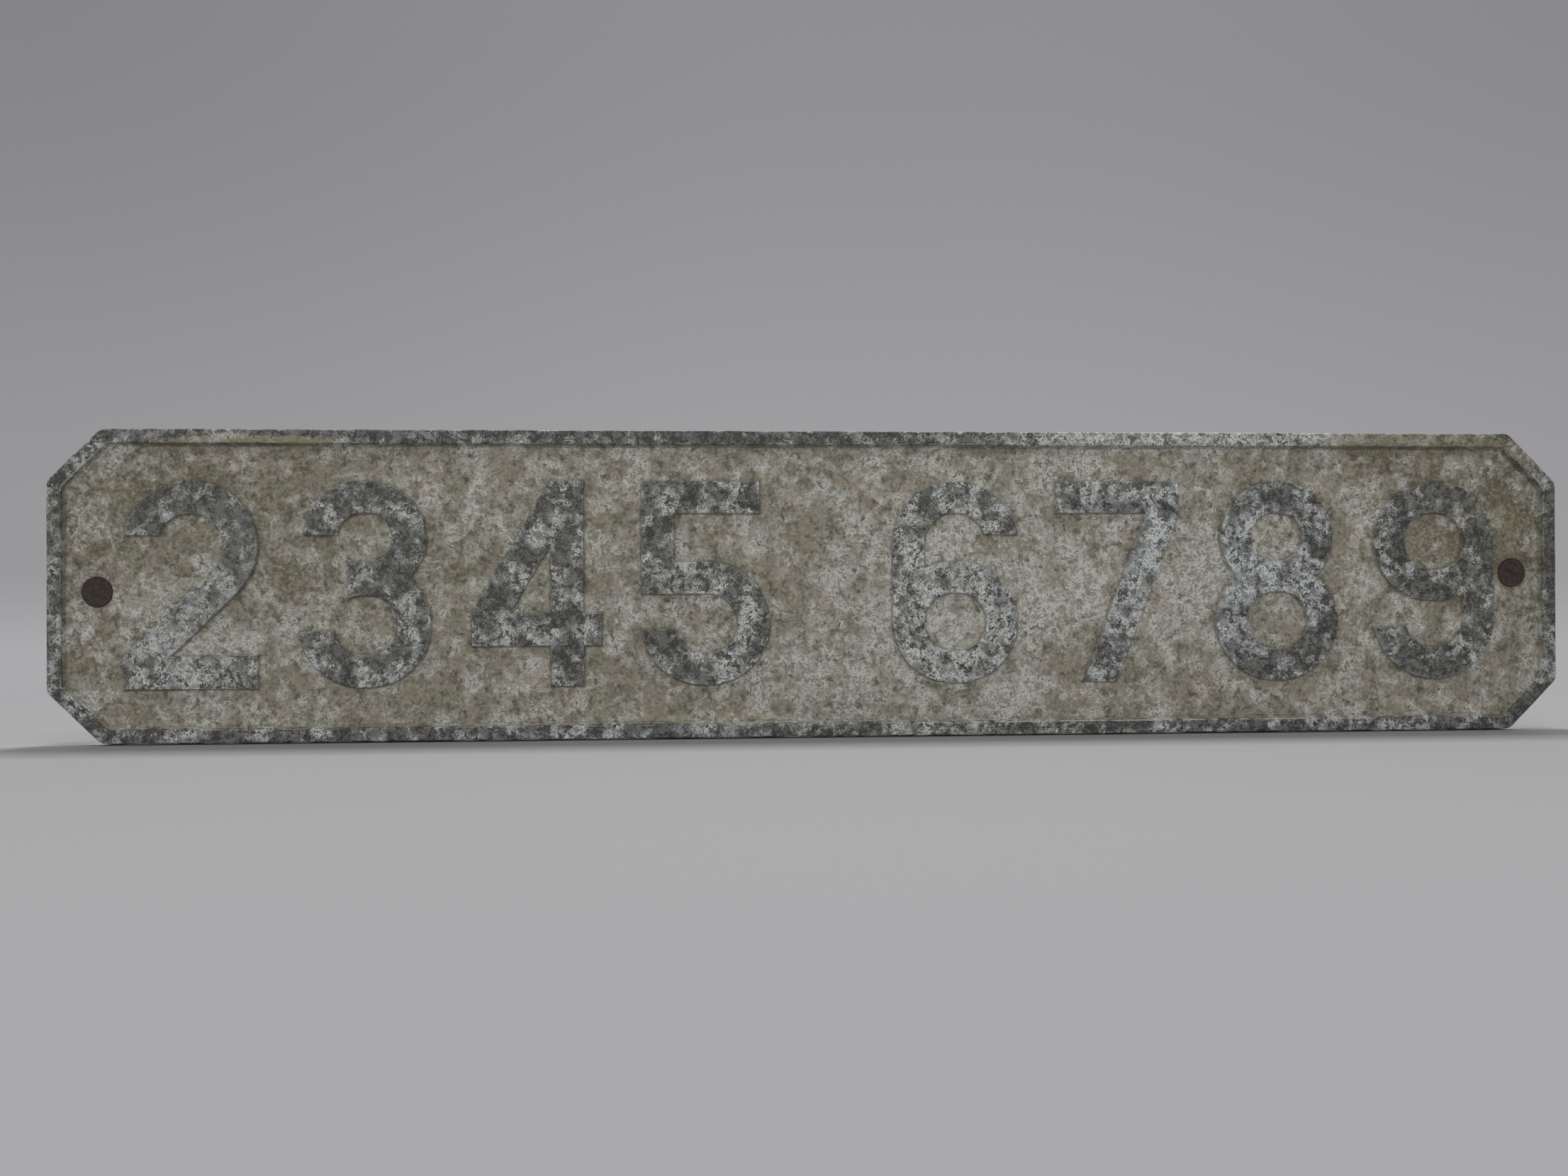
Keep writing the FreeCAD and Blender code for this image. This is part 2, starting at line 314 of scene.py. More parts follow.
@dataclass(frozen=True)
class BlockFigures:
    """Distances of places from the outlines of block figures, negative inside the stroke.

    Every figure stands on the origin and is centred across it, and all sizes are in millimetres.
    """

    x: Array
    z: Array
    height: float = 103.0
    width: float = 65.0
    upper_bowl_width: float = 60.0
    stroke: float = 17.2
    waist: float = 54.0
    lower_hook: float = 29.0
    upper_hook_drop: float = 28.0
    bowl_stub: float = 9.0
    crossbar: float = 20.0
    four_stem_inset: float = 9.0
    seven_foot_shift: float = 9.0

    def distance(self, numeral: Numeral) -> Array:
        """Distance of each place from the numeral's outline."""
        return getattr(self, numeral.name.lower())()

    def bar(self, left: float, foot: float, right: float, head: float) -> Array:
        """Distance from an upright rectangle."""
        return np.maximum.reduce([left - self.x, self.x - right, foot - self.z, self.z - head])

    def block(self, *corners: Point, closed: bool = True) -> Array:
        """Distance from a convex shape.

        Args:
            corners: Corners of the shape, anticlockwise.
            closed: Whether the side from the last corner to the first bounds it too.

        Returns:
            Distance of each place, negative inside.
        """
        far = np.full(np.shape(self.x), -np.inf)
        for start, end in zip(corners, corners[1:] + (corners[:1] if closed else ())):
            run = (end[0] - start[0], end[1] - start[1])
            away = ((self.x - start[0]) * run[1] - (self.z - start[1]) * run[0]) / math.hypot(*run)
            far = np.maximum(far, away)
        return far

    def oval(self, width: float, foot: float, head: float, inset: float) -> Array:
        """Distance from a shape with fully rounded ends.

        Args:
            width: Its full width.
            foot: Height of its lower end.
            head: Height of its upper end.
            inset: How far it is drawn in.

        Returns:
            Distance of each place, negative inside.
        """
        half_width, half_height = width / 2 - inset, (head - foot) / 2 - inset
        radius = min(half_width, half_height)
        beside = np.maximum(np.abs(self.x) - (half_width - radius), 0)
        above = np.maximum(np.abs(self.z - (foot + head) / 2) - (half_height - radius), 0)
        return np.hypot(beside, above) - radius

    def bowl(self, width: float, foot: float, head: float) -> Array:
        """Distance from a closed rounded stroke."""
        return np.maximum(self.oval(width, foot, head, 0), -self.oval(width, foot, head, self.stroke))

    def lower_bowl(self) -> Array:
        """Distance from the closed bowl between foot and waist."""
        return self.bowl(self.width, 0, self.waist + self.stroke / 2)

    def hooked(self, *corner: float) -> Array:
        """Distance from the full ring at the figure's top, less a rectangle that opens it to one side."""
        ring = self.bowl(self.width, self.height - self.width, self.height)
        return np.maximum(ring, -self.bar(*corner, self.height - self.upper_hook_drop))

    def two(self) -> Array:
        """Open top bowl that runs on as a slanting stroke to a foot bar.

        Returns:
            Distance of each place, negative inside the stroke.
        """
        radius = self.width / 2
        inner = radius - self.stroke
        middle = self.height - radius
        rise = middle - self.stroke
        slant = math.atan2(rise, radius) - math.asin(inner / math.hypot(radius, rise))
        side, up = math.cos(slant - math.pi / 2), math.sin(slant - math.pi / 2)
        touch_inner = (inner * side, middle + inner * up)
        touch_outer = (radius * side, middle + radius * up)
        toe = (touch_outer[0] - touch_outer[1] / math.tan(slant), 0)
        corner = ((-radius, self.stroke), (-radius, 0))
        slanting = self.block(touch_inner, *corner, toe, touch_outer, closed=False)
        over = self.z - middle
        past = (self.x * up - over * side > 0) & (self.x > -radius)
        past &= (over < 0) | (self.x * side + over * up > 0)
        body = np.where(past, slanting, self.hooked(-self.width, -self.height, 0))
        return np.minimum(body, self.bar(-radius, 0, radius, self.stroke))

    def three(self) -> Array:
        """Two bowls open to the left, joined by a short stub at the waist."""
        cut = self.bar(-self.width, self.lower_hook, -self.bowl_stub, self.height - self.upper_hook_drop)
        return np.maximum(self.eight(), -cut)

    def four(self) -> Array:
        """Slanting stroke, crossbar and upright stem round a three-cornered gap.

        Returns:
            Distance of each place, negative inside the stroke.
        """
        right = self.width / 2
        stem_right = right - self.four_stem_inset
        stem_left = stem_right - self.stroke
        bar_top = self.crossbar + self.stroke
        slant = math.atan2(self.height - bar_top, stem_left + right)
        foot = ((-right, self.crossbar), (stem_right, self.crossbar))
        slanting = self.block(*foot, (stem_right, self.height), (stem_left, self.height), (-right, bar_top))
        gap_left = (-right + self.stroke / math.sin(slant), bar_top)
        gap_head = (stem_left, self.height - self.stroke / math.cos(slant))
        gap = self.block(gap_left, (stem_left, bar_top), gap_head)
        stem = self.bar(stem_left, 0, stem_right, self.height)
        crossbar = self.bar(-right, self.crossbar, right, bar_top)
        return np.maximum(np.minimum.reduce([slanting, stem, crossbar]), -gap)

    def five(self) -> Array:
        """Top bar, short stem and a bowl open to the left.

        Returns:
            Distance of each place, negative inside the stroke.
        """
        left = -self.width / 2
        under = self.waist - self.stroke / 2
        hook = np.maximum(self.lower_bowl(), -self.bar(-self.width, self.lower_hook, 0, under))
        shoulder = self.bar(left, under, 0, under + self.stroke)
        stem = self.bar(left, under, left + self.stroke, self.height)
        top_bar = self.bar(left, self.height - self.stroke, left + self.upper_bowl_width, self.height)
        return np.minimum.reduce([hook, shoulder, stem, top_bar])

    def six(self) -> Array:
        """Closed bowl at the foot, with a side that runs up into a hook.

        Returns:
            Distance of each place, negative inside the stroke.
        """
        left = -self.width / 2
        cap_middle = self.height + left
        bowl_middle = (self.waist + self.stroke / 2) / 2
        side = np.maximum(left - self.x, self.x - left - self.stroke)
        hook = self.hooked(0, 0, self.width)
        under_cap = np.where(self.x < 0, side, np.maximum(hook, cap_middle - self.z))
        upper = np.where(self.z < cap_middle, under_cap, hook)
        lower = self.lower_bowl()
        return np.where(self.z > bowl_middle, np.minimum(lower, upper), lower)

    def seven(self) -> Array:
        """Top bar with a slanting stroke down to the foot.

        Returns:
            Distance of each place, negative inside the stroke.
        """
        right = self.width / 2
        under = self.height - self.stroke
        slant = math.atan2(under, right - self.stroke / 2 + self.seven_foot_shift)
        foot_right = right - under / math.tan(slant)
        foot_left = foot_right - self.stroke / math.sin(slant)
        head_left = foot_left + self.height / math.tan(slant)
        head = ((right, under), (right, self.height), (head_left, self.height))
        slanting = self.block((foot_left, 0), (foot_right, 0), *head)
        return np.minimum(self.bar(-right, under, right, self.height), slanting)

    def eight(self) -> Array:
        """Two closed bowls, one on the other."""
        upper = self.bowl(self.upper_bowl_width, self.waist - self.stroke / 2, self.height)
        return np.minimum(self.lower_bowl(), upper)

    def nine(self) -> Array:
        """A six turned upside down."""
        return replace(self, x=-self.x, z=self.height - self.z).six()


# Node trees


def maths(operation: str, reflected: bool = False) -> Callable[["Signal", object], "Signal"]:
    """A method of Signal that adds one Math node, with the other value first where it is reflected.

    Args:
        operation: Blender's name of the operation.
        reflected: Whether the other value comes first.

    Returns:
        The method.
    """
    def method(self: "Signal", other: object) -> "Signal":
        """The node's result for this signal and another value."""
        return self.sheet.math(operation, *((other, self) if reflected else (self, other)))

    return method


@dataclass(frozen=True)
class Signal:
    """A socket in a node tree that takes part in ordinary sums on values."""

    sheet: "NodeSheet"
    socket: bpy.types.NodeSocket

    __add__ = __radd__ = maths("ADD")
    __mul__ = __rmul__ = maths("MULTIPLY")
    __sub__ = maths("SUBTRACT")
    __rsub__ = maths("SUBTRACT", reflected=True)
    __truediv__ = maths("DIVIDE")
    __rtruediv__ = maths("DIVIDE", reflected=True)
    least = maths("MINIMUM")
    most = maths("MAXIMUM")

    def __neg__(self) -> "Signal":
        """Negative."""
        return self * -1.0

    def __abs__(self) -> "Signal":
        """Size without sign."""
        return self.sheet.math("ABSOLUTE", self)

    def rise(self, low: float, high: float) -> "Signal":
        """Smooth step from 0 at low to 1 at high. With low above high it falls instead.

        Args:
            low: Where the step starts.
            high: Where it ends.

        Returns:
            The step.
        """
        settings = {"interpolation_type": "SMOOTHSTEP", "clamp": True}
        inputs = {"Value": self, "From Min": low, "From Max": high}
        return self.sheet.node("ShaderNodeMapRange", settings, inputs)


Coat = tuple[Signal, Signal | Colour]


@dataclass(frozen=True)
class Patch:
    """A soft-edged oval place on the plate's face, in millimetres, with its strength in the middle."""

    x: float
    z: float
    reach_x: float
    reach_z: float
    strength: float


Patches = tuple[Patch, ...]


def patches(*rows: tuple[float, float, float, float, float]) -> Patches:
    """Patches from rows of x, z, the reach along and up, and strength."""
    return tuple(Patch(*row) for row in rows)


class NodeSheet:
    """Adds nodes to one node tree."""

    def __init__(self, tree: bpy.types.NodeTree, coordinates: str, output: str | int, scale: float) -> None:
        """Wrap the tree, empty it and take its coordinates.

        Args:
            tree: The node tree.
            coordinates: Blender's name of the node that gives coordinates.
            output: Name or number of that node's socket.
            scale: What the coordinates are multiplied by.
        """
        self.tree = tree
        tree.nodes.clear()
        self.place = self.scaled(self.node(coordinates, output=output), scale)

    def node(
        self,
        kind: str,
        settings: dict[str, object] | None = None,
        inputs: dict[str | int, object] | None = None,
        output: str | int = 0,
    ) -> Signal:
        """Add one node.

        Args:
            kind: Blender's name of the node type.
            settings: The node's own properties, set first.
            inputs: Values or signals for its sockets, by name or number.
            output: Name or number of the socket that is handed back.

        Returns:
            The chosen output as a signal, or the node's first input where it has no output.
        """
        made = self.tree.nodes.new(kind)
        for name, value in (settings or {}).items():
            setattr(made, name, value)
        for key, value in (inputs or {}).items():
            socket = self._socket(made.inputs, key)
            if isinstance(value, Signal):
                self.tree.links.new(value.socket, socket)
            else:
                socket.default_value = value
        return Signal(self, self._socket(made.outputs, output) if len(made.outputs) else made.inputs[0])

    @staticmethod
    def _socket(sockets: Iterable[bpy.types.NodeSocket], key: str | int) -> bpy.types.NodeSocket:
        """The socket in use with that number or name."""
        used = [socket for socket in sockets if socket.enabled]
        return used[key] if isinstance(key, int) else next(s for s in used if s.name == key)

    def math(self, operation: str, *values: object) -> Signal:
        """One Math node on values or signals."""
        return self.node("ShaderNodeMath", {"operation": operation}, dict(enumerate(values)))

    def mix(self, share: object, first: object, second: object) -> Signal:
        """Blend of two colours, from the first at share 0 to the second at share 1."""
        settings = {"data_type": "RGBA", "clamp_factor": True}
        return self.node("ShaderNodeMix", settings, {"Factor": share, "A": first, "B": second}, "Result")

    def coats(self, colour: Signal | Colour, *coats: Coat) -> Signal:
        """A colour under further coats, each of them the share that it covers and its colour.

        Args:
            colour: What lies under all coats.
            coats: From the lowest to the topmost.

        Returns:
            The colour that is seen.
        """
        for share, coat in coats:
            colour = self.mix(share, colour, coat)
        return colour

    def vector(self, operation: str, first: object, second: object) -> Signal:
        """One Vector Math node on two vectors."""
        output = "Value" if operation == "DISTANCE" else "Vector"
        return self.node("ShaderNodeVectorMath", {"operation": operation}, {0: first, 1: second}, output)

    def scaled(self, vector: Signal, scale: object) -> Signal:
        """A vector times a number."""
        return self.node("ShaderNodeVectorMath", {"operation": "SCALE"}, {"Vector": vector, "Scale": scale})

    def part(self, vector: Signal, axis: str) -> Signal:
        """A vector's part along X, Y or Z."""
        return self.node("ShaderNodeSeparateXYZ", inputs={0: vector}, output=axis)

    def combined(self, x: object, y: object, z: object) -> Signal:
        """A vector from its three parts."""
        return self.node("ShaderNodeCombineXYZ", inputs={0: x, 1: y, 2: z})

    def stored(self, name: str) -> Signal:
        """A value that the mesh holds for each of its corners."""
        return self.node("ShaderNodeAttribute", {"attribute_name": name}, output="Fac")

    def noise(
        self,
        size: float,
        detail: float,
        roughness: float,
        shift: float,
        warp: tuple[float, float, float] | None = None,
        output: int = 0,
    ) -> Signal:
        """Fractal noise over the sheet's coordinates, about 0.5 in the mean.

        Args:
            size: Size of its main blobs.
            detail: Number of finer octaves.
            roughness: Strength of the finer octaves.
            shift: Moves the pattern along, so that another part of it is used.
            warp: Size, reach and shift of plain noise that pushes the coordinates about.
            output: 0 for a value or 1 for a colour.

        Returns:
            The noise.
        """
        place = self.place
        if warp:
            push_size, reach, push_shift = warp
            push = self.noise(push_size, 0.0, 0.5, push_shift, output=1)
            push = self.scaled(self.vector("SUBTRACT", push, (0.5, 0.5, 0.5)), reach)
            place = self.vector("ADD", place, push)
        moved = self.vector("ADD", place, tuple(step * shift for step in NOISE_STEP))
        inputs = {"Vector": moved, "Scale": 1 / size, "Detail": detail, "Roughness": roughness}
        return self.node("ShaderNodeTexNoise", inputs=inputs, output=output)

    def spread(self, places: Sequence[Patch]) -> Signal:
        """Sum of all the patches, each at its strength in its middle and nothing at its reach.

        Args:
            places: The patches.

        Returns:
            The sum at each place.
        """
        shares = []
        for patch in places:
            moved = self.vector("SUBTRACT", self.place, (patch.x, 0.0, patch.z))
            drawn = self.vector("MULTIPLY", moved, (1 / patch.reach_x, 0.0, 1 / patch.reach_z))
            shares.append(self.vector("DISTANCE", drawn, (0.0, 0.0, 0.0)).rise(1.0, 0.0) * patch.strength)
        return sum(shares[1:], shares[0])


def tone(red: int, green: int, blue: int) -> Colour:
    """A colour given as it shows on screen, from 0 to 255, as the linear values that a shader takes."""
    shares = (value / 255 for value in (red, green, blue))
    return (*(s / 12.92 if s <= 0.04045 else ((s + 0.055) / 1.055) ** 2.4 for s in shares), 1.0)


@dataclass(frozen=True)
class Finish:
    """What every finish has: a material of its own, worked out from object coordinates in millimetres."""

    name: str

    def material(self) -> bpy.types.Material:
        """The finish as a Blender material.

        Returns:
            The material.
        """
        made = bpy.data.materials.new(self.name)
        made.use_nodes = True
        sheet = NodeSheet(made.node_tree, "ShaderNodeTexCoord", "Object", 1 / MM)
        sheet.node("ShaderNodeOutputMaterial", inputs={"Surface": self.shader(sheet)})
        return made

    def shader(self, sheet: NodeSheet) -> Signal:
        """The finish's own shader."""
        raise NotImplementedError

    @staticmethod
    def matt(sheet: NodeSheet, colour: Signal, rough: Signal, relief: Signal, strength: float) -> Signal:
        """Shader of a matt surface with a slight relief.

        Args:
            sheet: The material's nodes.
            colour: Colour of the surface.
            rough: Roughness of the surface.
            relief: Height of the relief.
            strength: How much of the relief shows.

        Returns:
            The shader.
        """
        inputs = {"Strength": strength, "Distance": RELIEF_DEPTH * MM, "Height": relief}
        bump = sheet.node("ShaderNodeBump", inputs=inputs)
        inputs = {"Base Color": colour, "Roughness": rough, "Normal": bump}
        return sheet.node("ShaderNodeBsdfPrincipled", inputs=inputs)


@dataclass(frozen=True)
class WeatheredPaint(Finish):
    """Chalked khaki field paint and flaking black paint on a casting that blooms with white corrosion."""

    name: str = "weathered_paint"
    khaki: Colour = tone(122, 117, 102)
    khaki_dark: Colour = tone(78, 74, 60)
    khaki_green: Colour = tone(102, 103, 82)
    khaki_pink: Colour = tone(128, 116, 104)
    speck: Colour = tone(66, 63, 50)
    chalk: Colour = tone(146, 143, 132)
    earth: Colour = tone(84, 76, 57)
    ochre: Colour = tone(132, 126, 100)
    black: Colour = tone(35, 35, 34)
    black_grey: Colour = tone(57, 58, 55)
    haze_field: Colour = tone(149, 146, 139)
    haze_black: Colour = tone(108, 109, 106)
    haze_blue: Colour = tone(110, 116, 124)
    haze_pale: Colour = tone(146, 148, 145)
    thread: Colour = tone(200, 202, 198)
    rime: Colour = tone(160, 166, 159)
    soot: Colour = tone(30, 31, 30)
    stain: Colour = tone(62, 55, 40)
    moss: Colour = tone(84, 86, 60)
    rust: Colour = tone(90, 73, 48)
    packed_rust: Colour = tone(56, 44, 35)
    # Dark brown for dirt specks, and for painted shade along the wall feet and under the rim.
    grime_and_shade: Colour = tone(58, 53, 44)
    # Pale crest line: worn paint with a painted highlight.
    crest_wear_and_highlight: Colour = tone(172, 170, 160)
    back_metal: Colour = tone(100, 99, 95)
    back_dark: Colour = tone(76, 73, 67)
    painted_above: float = 7.4
    blooms: Patches = patches(
        (-318, -30, 54, 36, 0.15), (-300, 4, 26, 22, 0.10), (-366, 64, 22, 20, 0.08),
        (-345, 40, 50, 30, -0.08), (-250, 62, 90, 20, -0.06), (-200, -60, 110, 20, -0.05),
        (165, 6, 130, 60, 0.10), (50, -10, 80, 90, 0.10), (-20, -50, 60, 30, 0.08),
        (175, 75, 125, 12, 0.34), (-50, 74, 150, 8, -0.11), (2, -62, 48, 15, 0.08),
        (198, -3, 30, 42, 0.09), (95, -56, 24, 13, 0.2), (325, 72, 80, 8, -0.06),
        (345, 20, 70, 70, -0.07), (372, -66, 26, 22, -0.3), (379, 0, 9, 60, -0.12),
    )
    cools: Patches = patches((190, 0, 170, 110, 1.0), (-330, -10, 60, 90, 0.7))
    soils: Patches = patches(
        (358, 30, 100, 80, 1.1), (-362, 0, 26, 90, 0.6), (-270, 15, 160, 80, 0.4), (284, 63, 34, 14, 1.0),
        (-330, 55, 60, 26, 0.6),
    )
    ochres: Patches = patches(
        (-285, 71, 80, 6, 1.0), (325, 70, 80, 12, 0.8), (352, 26, 18, 26, 0.6), (-60, -68, 120, 7, 0.5),
    )
    bares: Patches = patches(
        (-285, 70.6, 80, 5.5, 1.3), (300, 72, 70, 9.0, 1.6), (352, 62, 34, 20, 0.8), (335, 42, 60, 36, 0.5),
    )
    thins: Patches = patches(
        (-330, -5, 75, 80, 1.0), (120, 0, 120, 90, 0.6), (340, 20, 60, 90, 0.8),
    )
    stains: Patches = patches(
        (345, 72, 100, 44, 1.0), (366, 0, 44, 110, 0.7), (-374, 20, 26, 80, 0.5), (-290, 15, 170, 110, 0.45),
        (-120, 0, 120, 90, 0.2), (2, -62, 46, 15, 1.1), (284, 63, 30, 14, 0.7), (-335, 52, 60, 26, 0.4),
    )
    chalks: Patches = patches((-305, 10, 75, 75, 0.10), (190, 0, 90, 80, 0.04))
    # Where the field along the rim's inner foot is darkened by dirt and painted shade, most under the top
    # rim.
    dirt_and_shade_under_rim: Patches = patches(
        (0, 80, 700, 45, 0.5), (-290, 72, 110, 18, 0.6), (330, 66, 130, 40, 0.35), (375, 30, 60, 90, 0.4),
        (-378, 0, 50, 110, 0.35),
    )
    rimes: Patches = patches(
        (-367, 64, 26, 26, 1.5), (-374, 45, 12, 34, 0.9), (-300, 77, 70, 5, 0.7), (-15, -74, 60, 6, 0.7),
    )
    # Where the crest line is brighter: worn paint with a painted highlight.
    worn_and_lit_crests: Patches = patches(
        (160, -69, 200, 7, 1.0), (-366, 60, 30, 24, 0.8), (165, 72, 130, 9, 0.5),
    )
    halos: Patches = patches((-357.5, -2.8, 12.0, 12.0, 1.1), (357.0, 6.0, 15.0, 14.0, 1.2))
    seats: Patches = patches((-357.5, -2.8, 9.6, 9.6, 3.0), (358.0, 4.3, 9.8, 9.8, 3.0))

    def shader(self, sheet: NodeSheet) -> Signal:
        """Paint, wear, corrosion and stains, with painted shade along the feet and under the rim and painted
        highlights on the crests, laid over each other from the field up.

        Args:
            sheet: The material's nodes.

        Returns:
            The shader.
        """
        height = -sheet.part(sheet.place, "Y")
        grain = sheet.noise(0.8, 2.0, 0.6, 1.0)
        blotch = sheet.noise(4.0, 3.0, 0.65, 2.0)
        broad = sheet.noise(30.0, 1.0, 0.5, 3.0)
        bloom = sheet.spread(self.blooms) + (broad - 0.5) * 0.22
        cluster = sheet.noise(10.0, 4.0, 0.6, 5.0, warp=(6.0, 5.0, 4.0)) + bloom
        front = sheet.noise(6.2, 3.0, 0.6, 7.0, warp=(3.6, 4.2, 6.0))
        fine = sheet.noise(3.1, 1.5, 0.5, 9.0, warp=(2.2, 2.4, 8.0))
        breaks = sheet.noise(3.4, 2.0, 0.6, 16.0)

        black = self.painted(sheet, height, grain, blotch, cluster)
        crust = cluster * 0.45 + front * 0.3 + breaks * 0.25 + bloom * 0.25
        mist_field = (crust + (fine - 0.5) * 0.45 + (grain - 0.5) * 0.35).rise(0.46, 0.62)
        spots = crust + (breaks - cluster + bloom) * 0.12 + (fine - 0.5) * 0.5 + (grain - 0.5) * 0.5
        mist_black = (spots + sheet.spread(self.chalks)).rise(0.46, 0.56)
        haze = sheet.coats(
            self.haze_black,
            (sheet.spread(self.cools) * cluster.rise(0.42, 0.6), self.haze_blue),
            ((fine * 0.5 + grain * 0.5).rise(0.45, 0.6) * cluster.rise(0.46, 0.62), self.haze_pale),
        )
        threads = self.lace(grain, cluster, front, fine, breaks) * (1 - black * (1 - mist_black) * 0.6)
        threads = threads * (grain.rise(0.34, 0.5) * 0.65 + 0.35) * (cluster.rise(0.43, 0.68) * 0.48 + 0.26)
        seat = sheet.spread(self.seats) + (grain - 0.5) * 1.2
        back = (broad * 0.25 + blotch * 0.35 + grain * 0.4).rise(0.3, 0.66)
        colour = sheet.coats(
            self.field_paint(sheet, blotch, cluster),
            (sheet.spread(self.ochres) * blotch.rise(0.35, 0.6), self.ochre),
            (black, self.black_paint(sheet, blotch, grain)),
            (mist_field * (1 - black) * 0.58, self.haze_field),
            (mist_black * black * 0.68, haze),
            (threads * (black * 0.25 + 0.75), self.thread),
            (grain.rise(0.42, 0.3) * 0.35, self.grime_and_shade),
            *self.rime_coats(sheet, front, black),
            *self.stain_coats(sheet, blotch),
            (sheet.spread(self.halos) * blotch.rise(0.32, 0.58), self.rust),
            (seat.rise(0.5, 1.4) * 0.85, self.packed_rust),
            # Dark foot lines with painted shade, and light crest lines with a painted highlight.
            *self.edge_coats(sheet, blotch),
            # Dirt and painted shade along the inner foot of the rim.
            (self.under_rim_dirt_and_shade(sheet, blotch, broad), self.grime_and_shade),
            (height.rise(0.9, 0.3), sheet.mix(back, self.back_dark, self.back_metal)),
        )
        rough = 0.88 - black * (1 - mist_black) * 0.18
        return self.matt(sheet, colour, rough, grain * 0.5 + blotch * 0.4 + cluster * 0.3, 0.7)

    def field_paint(self, sheet: NodeSheet, blotch: Signal, cluster: Signal) -> Signal:
        """Khaki paint, mottled dark, green and pink, with dark specks and brown soil.

        Args:
            sheet: The material's nodes.
            blotch: Noise with blobs of 4 mm.
            cluster: Warped noise that says where corrosion gathers.

        Returns:
            The paint's colour.
        """
        tint = sheet.noise(8.0, 2.0, 0.6, 11.0)
        dots = sheet.noise(1.7, 1.0, 0.5, 12.0)
        soil = sheet.spread(self.soils) * (blotch + cluster).rise(1.25, 0.75)
        return sheet.coats(
            self.khaki_dark,
            (blotch.rise(0.32, 0.58), self.khaki),
            (tint.rise(0.47, 0.36) * 0.5, self.khaki_green),
            (tint.rise(0.53, 0.64) * 0.6, self.khaki_pink),
            (soil.least(0.8), self.earth),
            (dots.rise(0.43, 0.3) * 0.45, self.speck),
            (dots.rise(0.52, 0.7) * 0.5, self.chalk),
        )

    def painted(
        self, sheet: NodeSheet, height: Signal, grain: Signal, blotch: Signal, cluster: Signal
    ) -> Signal:
        """Where the black paint still is: raised tops and the outer side, less the bare and thin places.

        Args:
            sheet: The material's nodes.
            height: Height over the back in millimetres.
            grain: Noise with blobs under a millimetre wide.
            blotch: Noise with blobs of 4 mm.
            cluster: Warped noise that says where corrosion gathers.

        Returns:
            Share of black paint, from 0 to 1.
        """
        top = (height + (grain - 0.5) * 0.9).rise(self.painted_above - 0.3, self.painted_above + 0.3)
        side = sheet.stored("inset").rise(1.3, 0.8)
        thin = (cluster - 0.46) * (sheet.spread(self.thins) * 2.4 + 0.6)
        gone = sheet.spread(self.bares) + (blotch - 0.5) * 1.6 + thin
        return top.most(side) * gone.rise(0.7, 0.3)

    def black_paint(self, sheet: NodeSheet, blotch: Signal, grain: Signal) -> Signal:
        """Black paint with sooty and pale flecks, chalked grey in spots.

        Args:
            sheet: The material's nodes.
            blotch: Noise with blobs of 4 mm.
            grain: Noise with blobs under a millimetre wide.

        Returns:
            The paint's colour.
        """
        flecks = sheet.noise(1.5, 3.0, 0.7, 21.0)
        worn = sheet.noise(5.0, 3.0, 0.6, 18.0, warp=(3.0, 3.0, 17.0))
        return sheet.coats(
            self.black,
            ((blotch * 0.6 + grain * 0.4).rise(0.42, 0.62), self.black_grey),
            (flecks.rise(0.48, 0.36) * 0.6, self.soot),
            (flecks.rise(0.53, 0.68) * 0.55, self.haze_black),
            ((worn + (grain - 0.5) * 0.4).rise(0.48, 0.64) * 0.5, self.haze_black),
        )

    @staticmethod
    def lace(grain: Signal, cluster: Signal, front: Signal, fine: Signal, breaks: Signal) -> Signal:
        """Threads of white corrosion: small curls, larger fronts and the shores of the clusters.

        Args:
            grain: Noise with blobs under a millimetre wide.
            cluster: Warped noise that says where corrosion gathers.
            front: Warped noise whose mean line is a large thread.
            fine: Warped noise whose mean line is a small thread.
            breaks: Noise that breaks the threads up.

        Returns:
            Share of the threads, from 0 to 1.
        """
        ragged = (grain - 0.5) * 0.3
        curl = abs(fine - 0.5 + ragged).rise(0.075, 0.028) * breaks.rise(0.42, 0.54)
        small = curl * (cluster.rise(0.47, 0.6) * 0.75 + 0.25)
        large = abs(front - 0.5 + ragged * 0.6).rise(0.05, 0.018) * (cluster.rise(0.45, 0.58) * 0.9 + 0.1)
        shores = abs(abs(cluster - 0.53) - 0.03).rise(0.022, 0.006) * breaks.rise(0.38, 0.54)
        return small.most(large).most(shores * 0.8)

    def rime_coats(self, sheet: NodeSheet, front: Signal, black: Signal) -> list[Coat]:
        """Thick pale crust in blobs over sooty black, on the stretches of the rim that have it.

        Args:
            sheet: The material's nodes.
            front: Warped noise whose mean line is a large thread.
            black: Share of black paint.

        Returns:
            The coats, from the lowest to the topmost.
        """
        lumps = sheet.noise(3.6, 4.0, 0.7, 20.0, warp=(2.4, 2.6, 19.0))
        reach = (sheet.spread(self.rimes) * black).least(1.0)
        return [
            (lumps.rise(0.52, 0.44) * reach * 0.75, self.soot),
            ((lumps * 0.75 + front * 0.25).rise(0.5, 0.58) * reach * 0.8, self.rime),
        ]

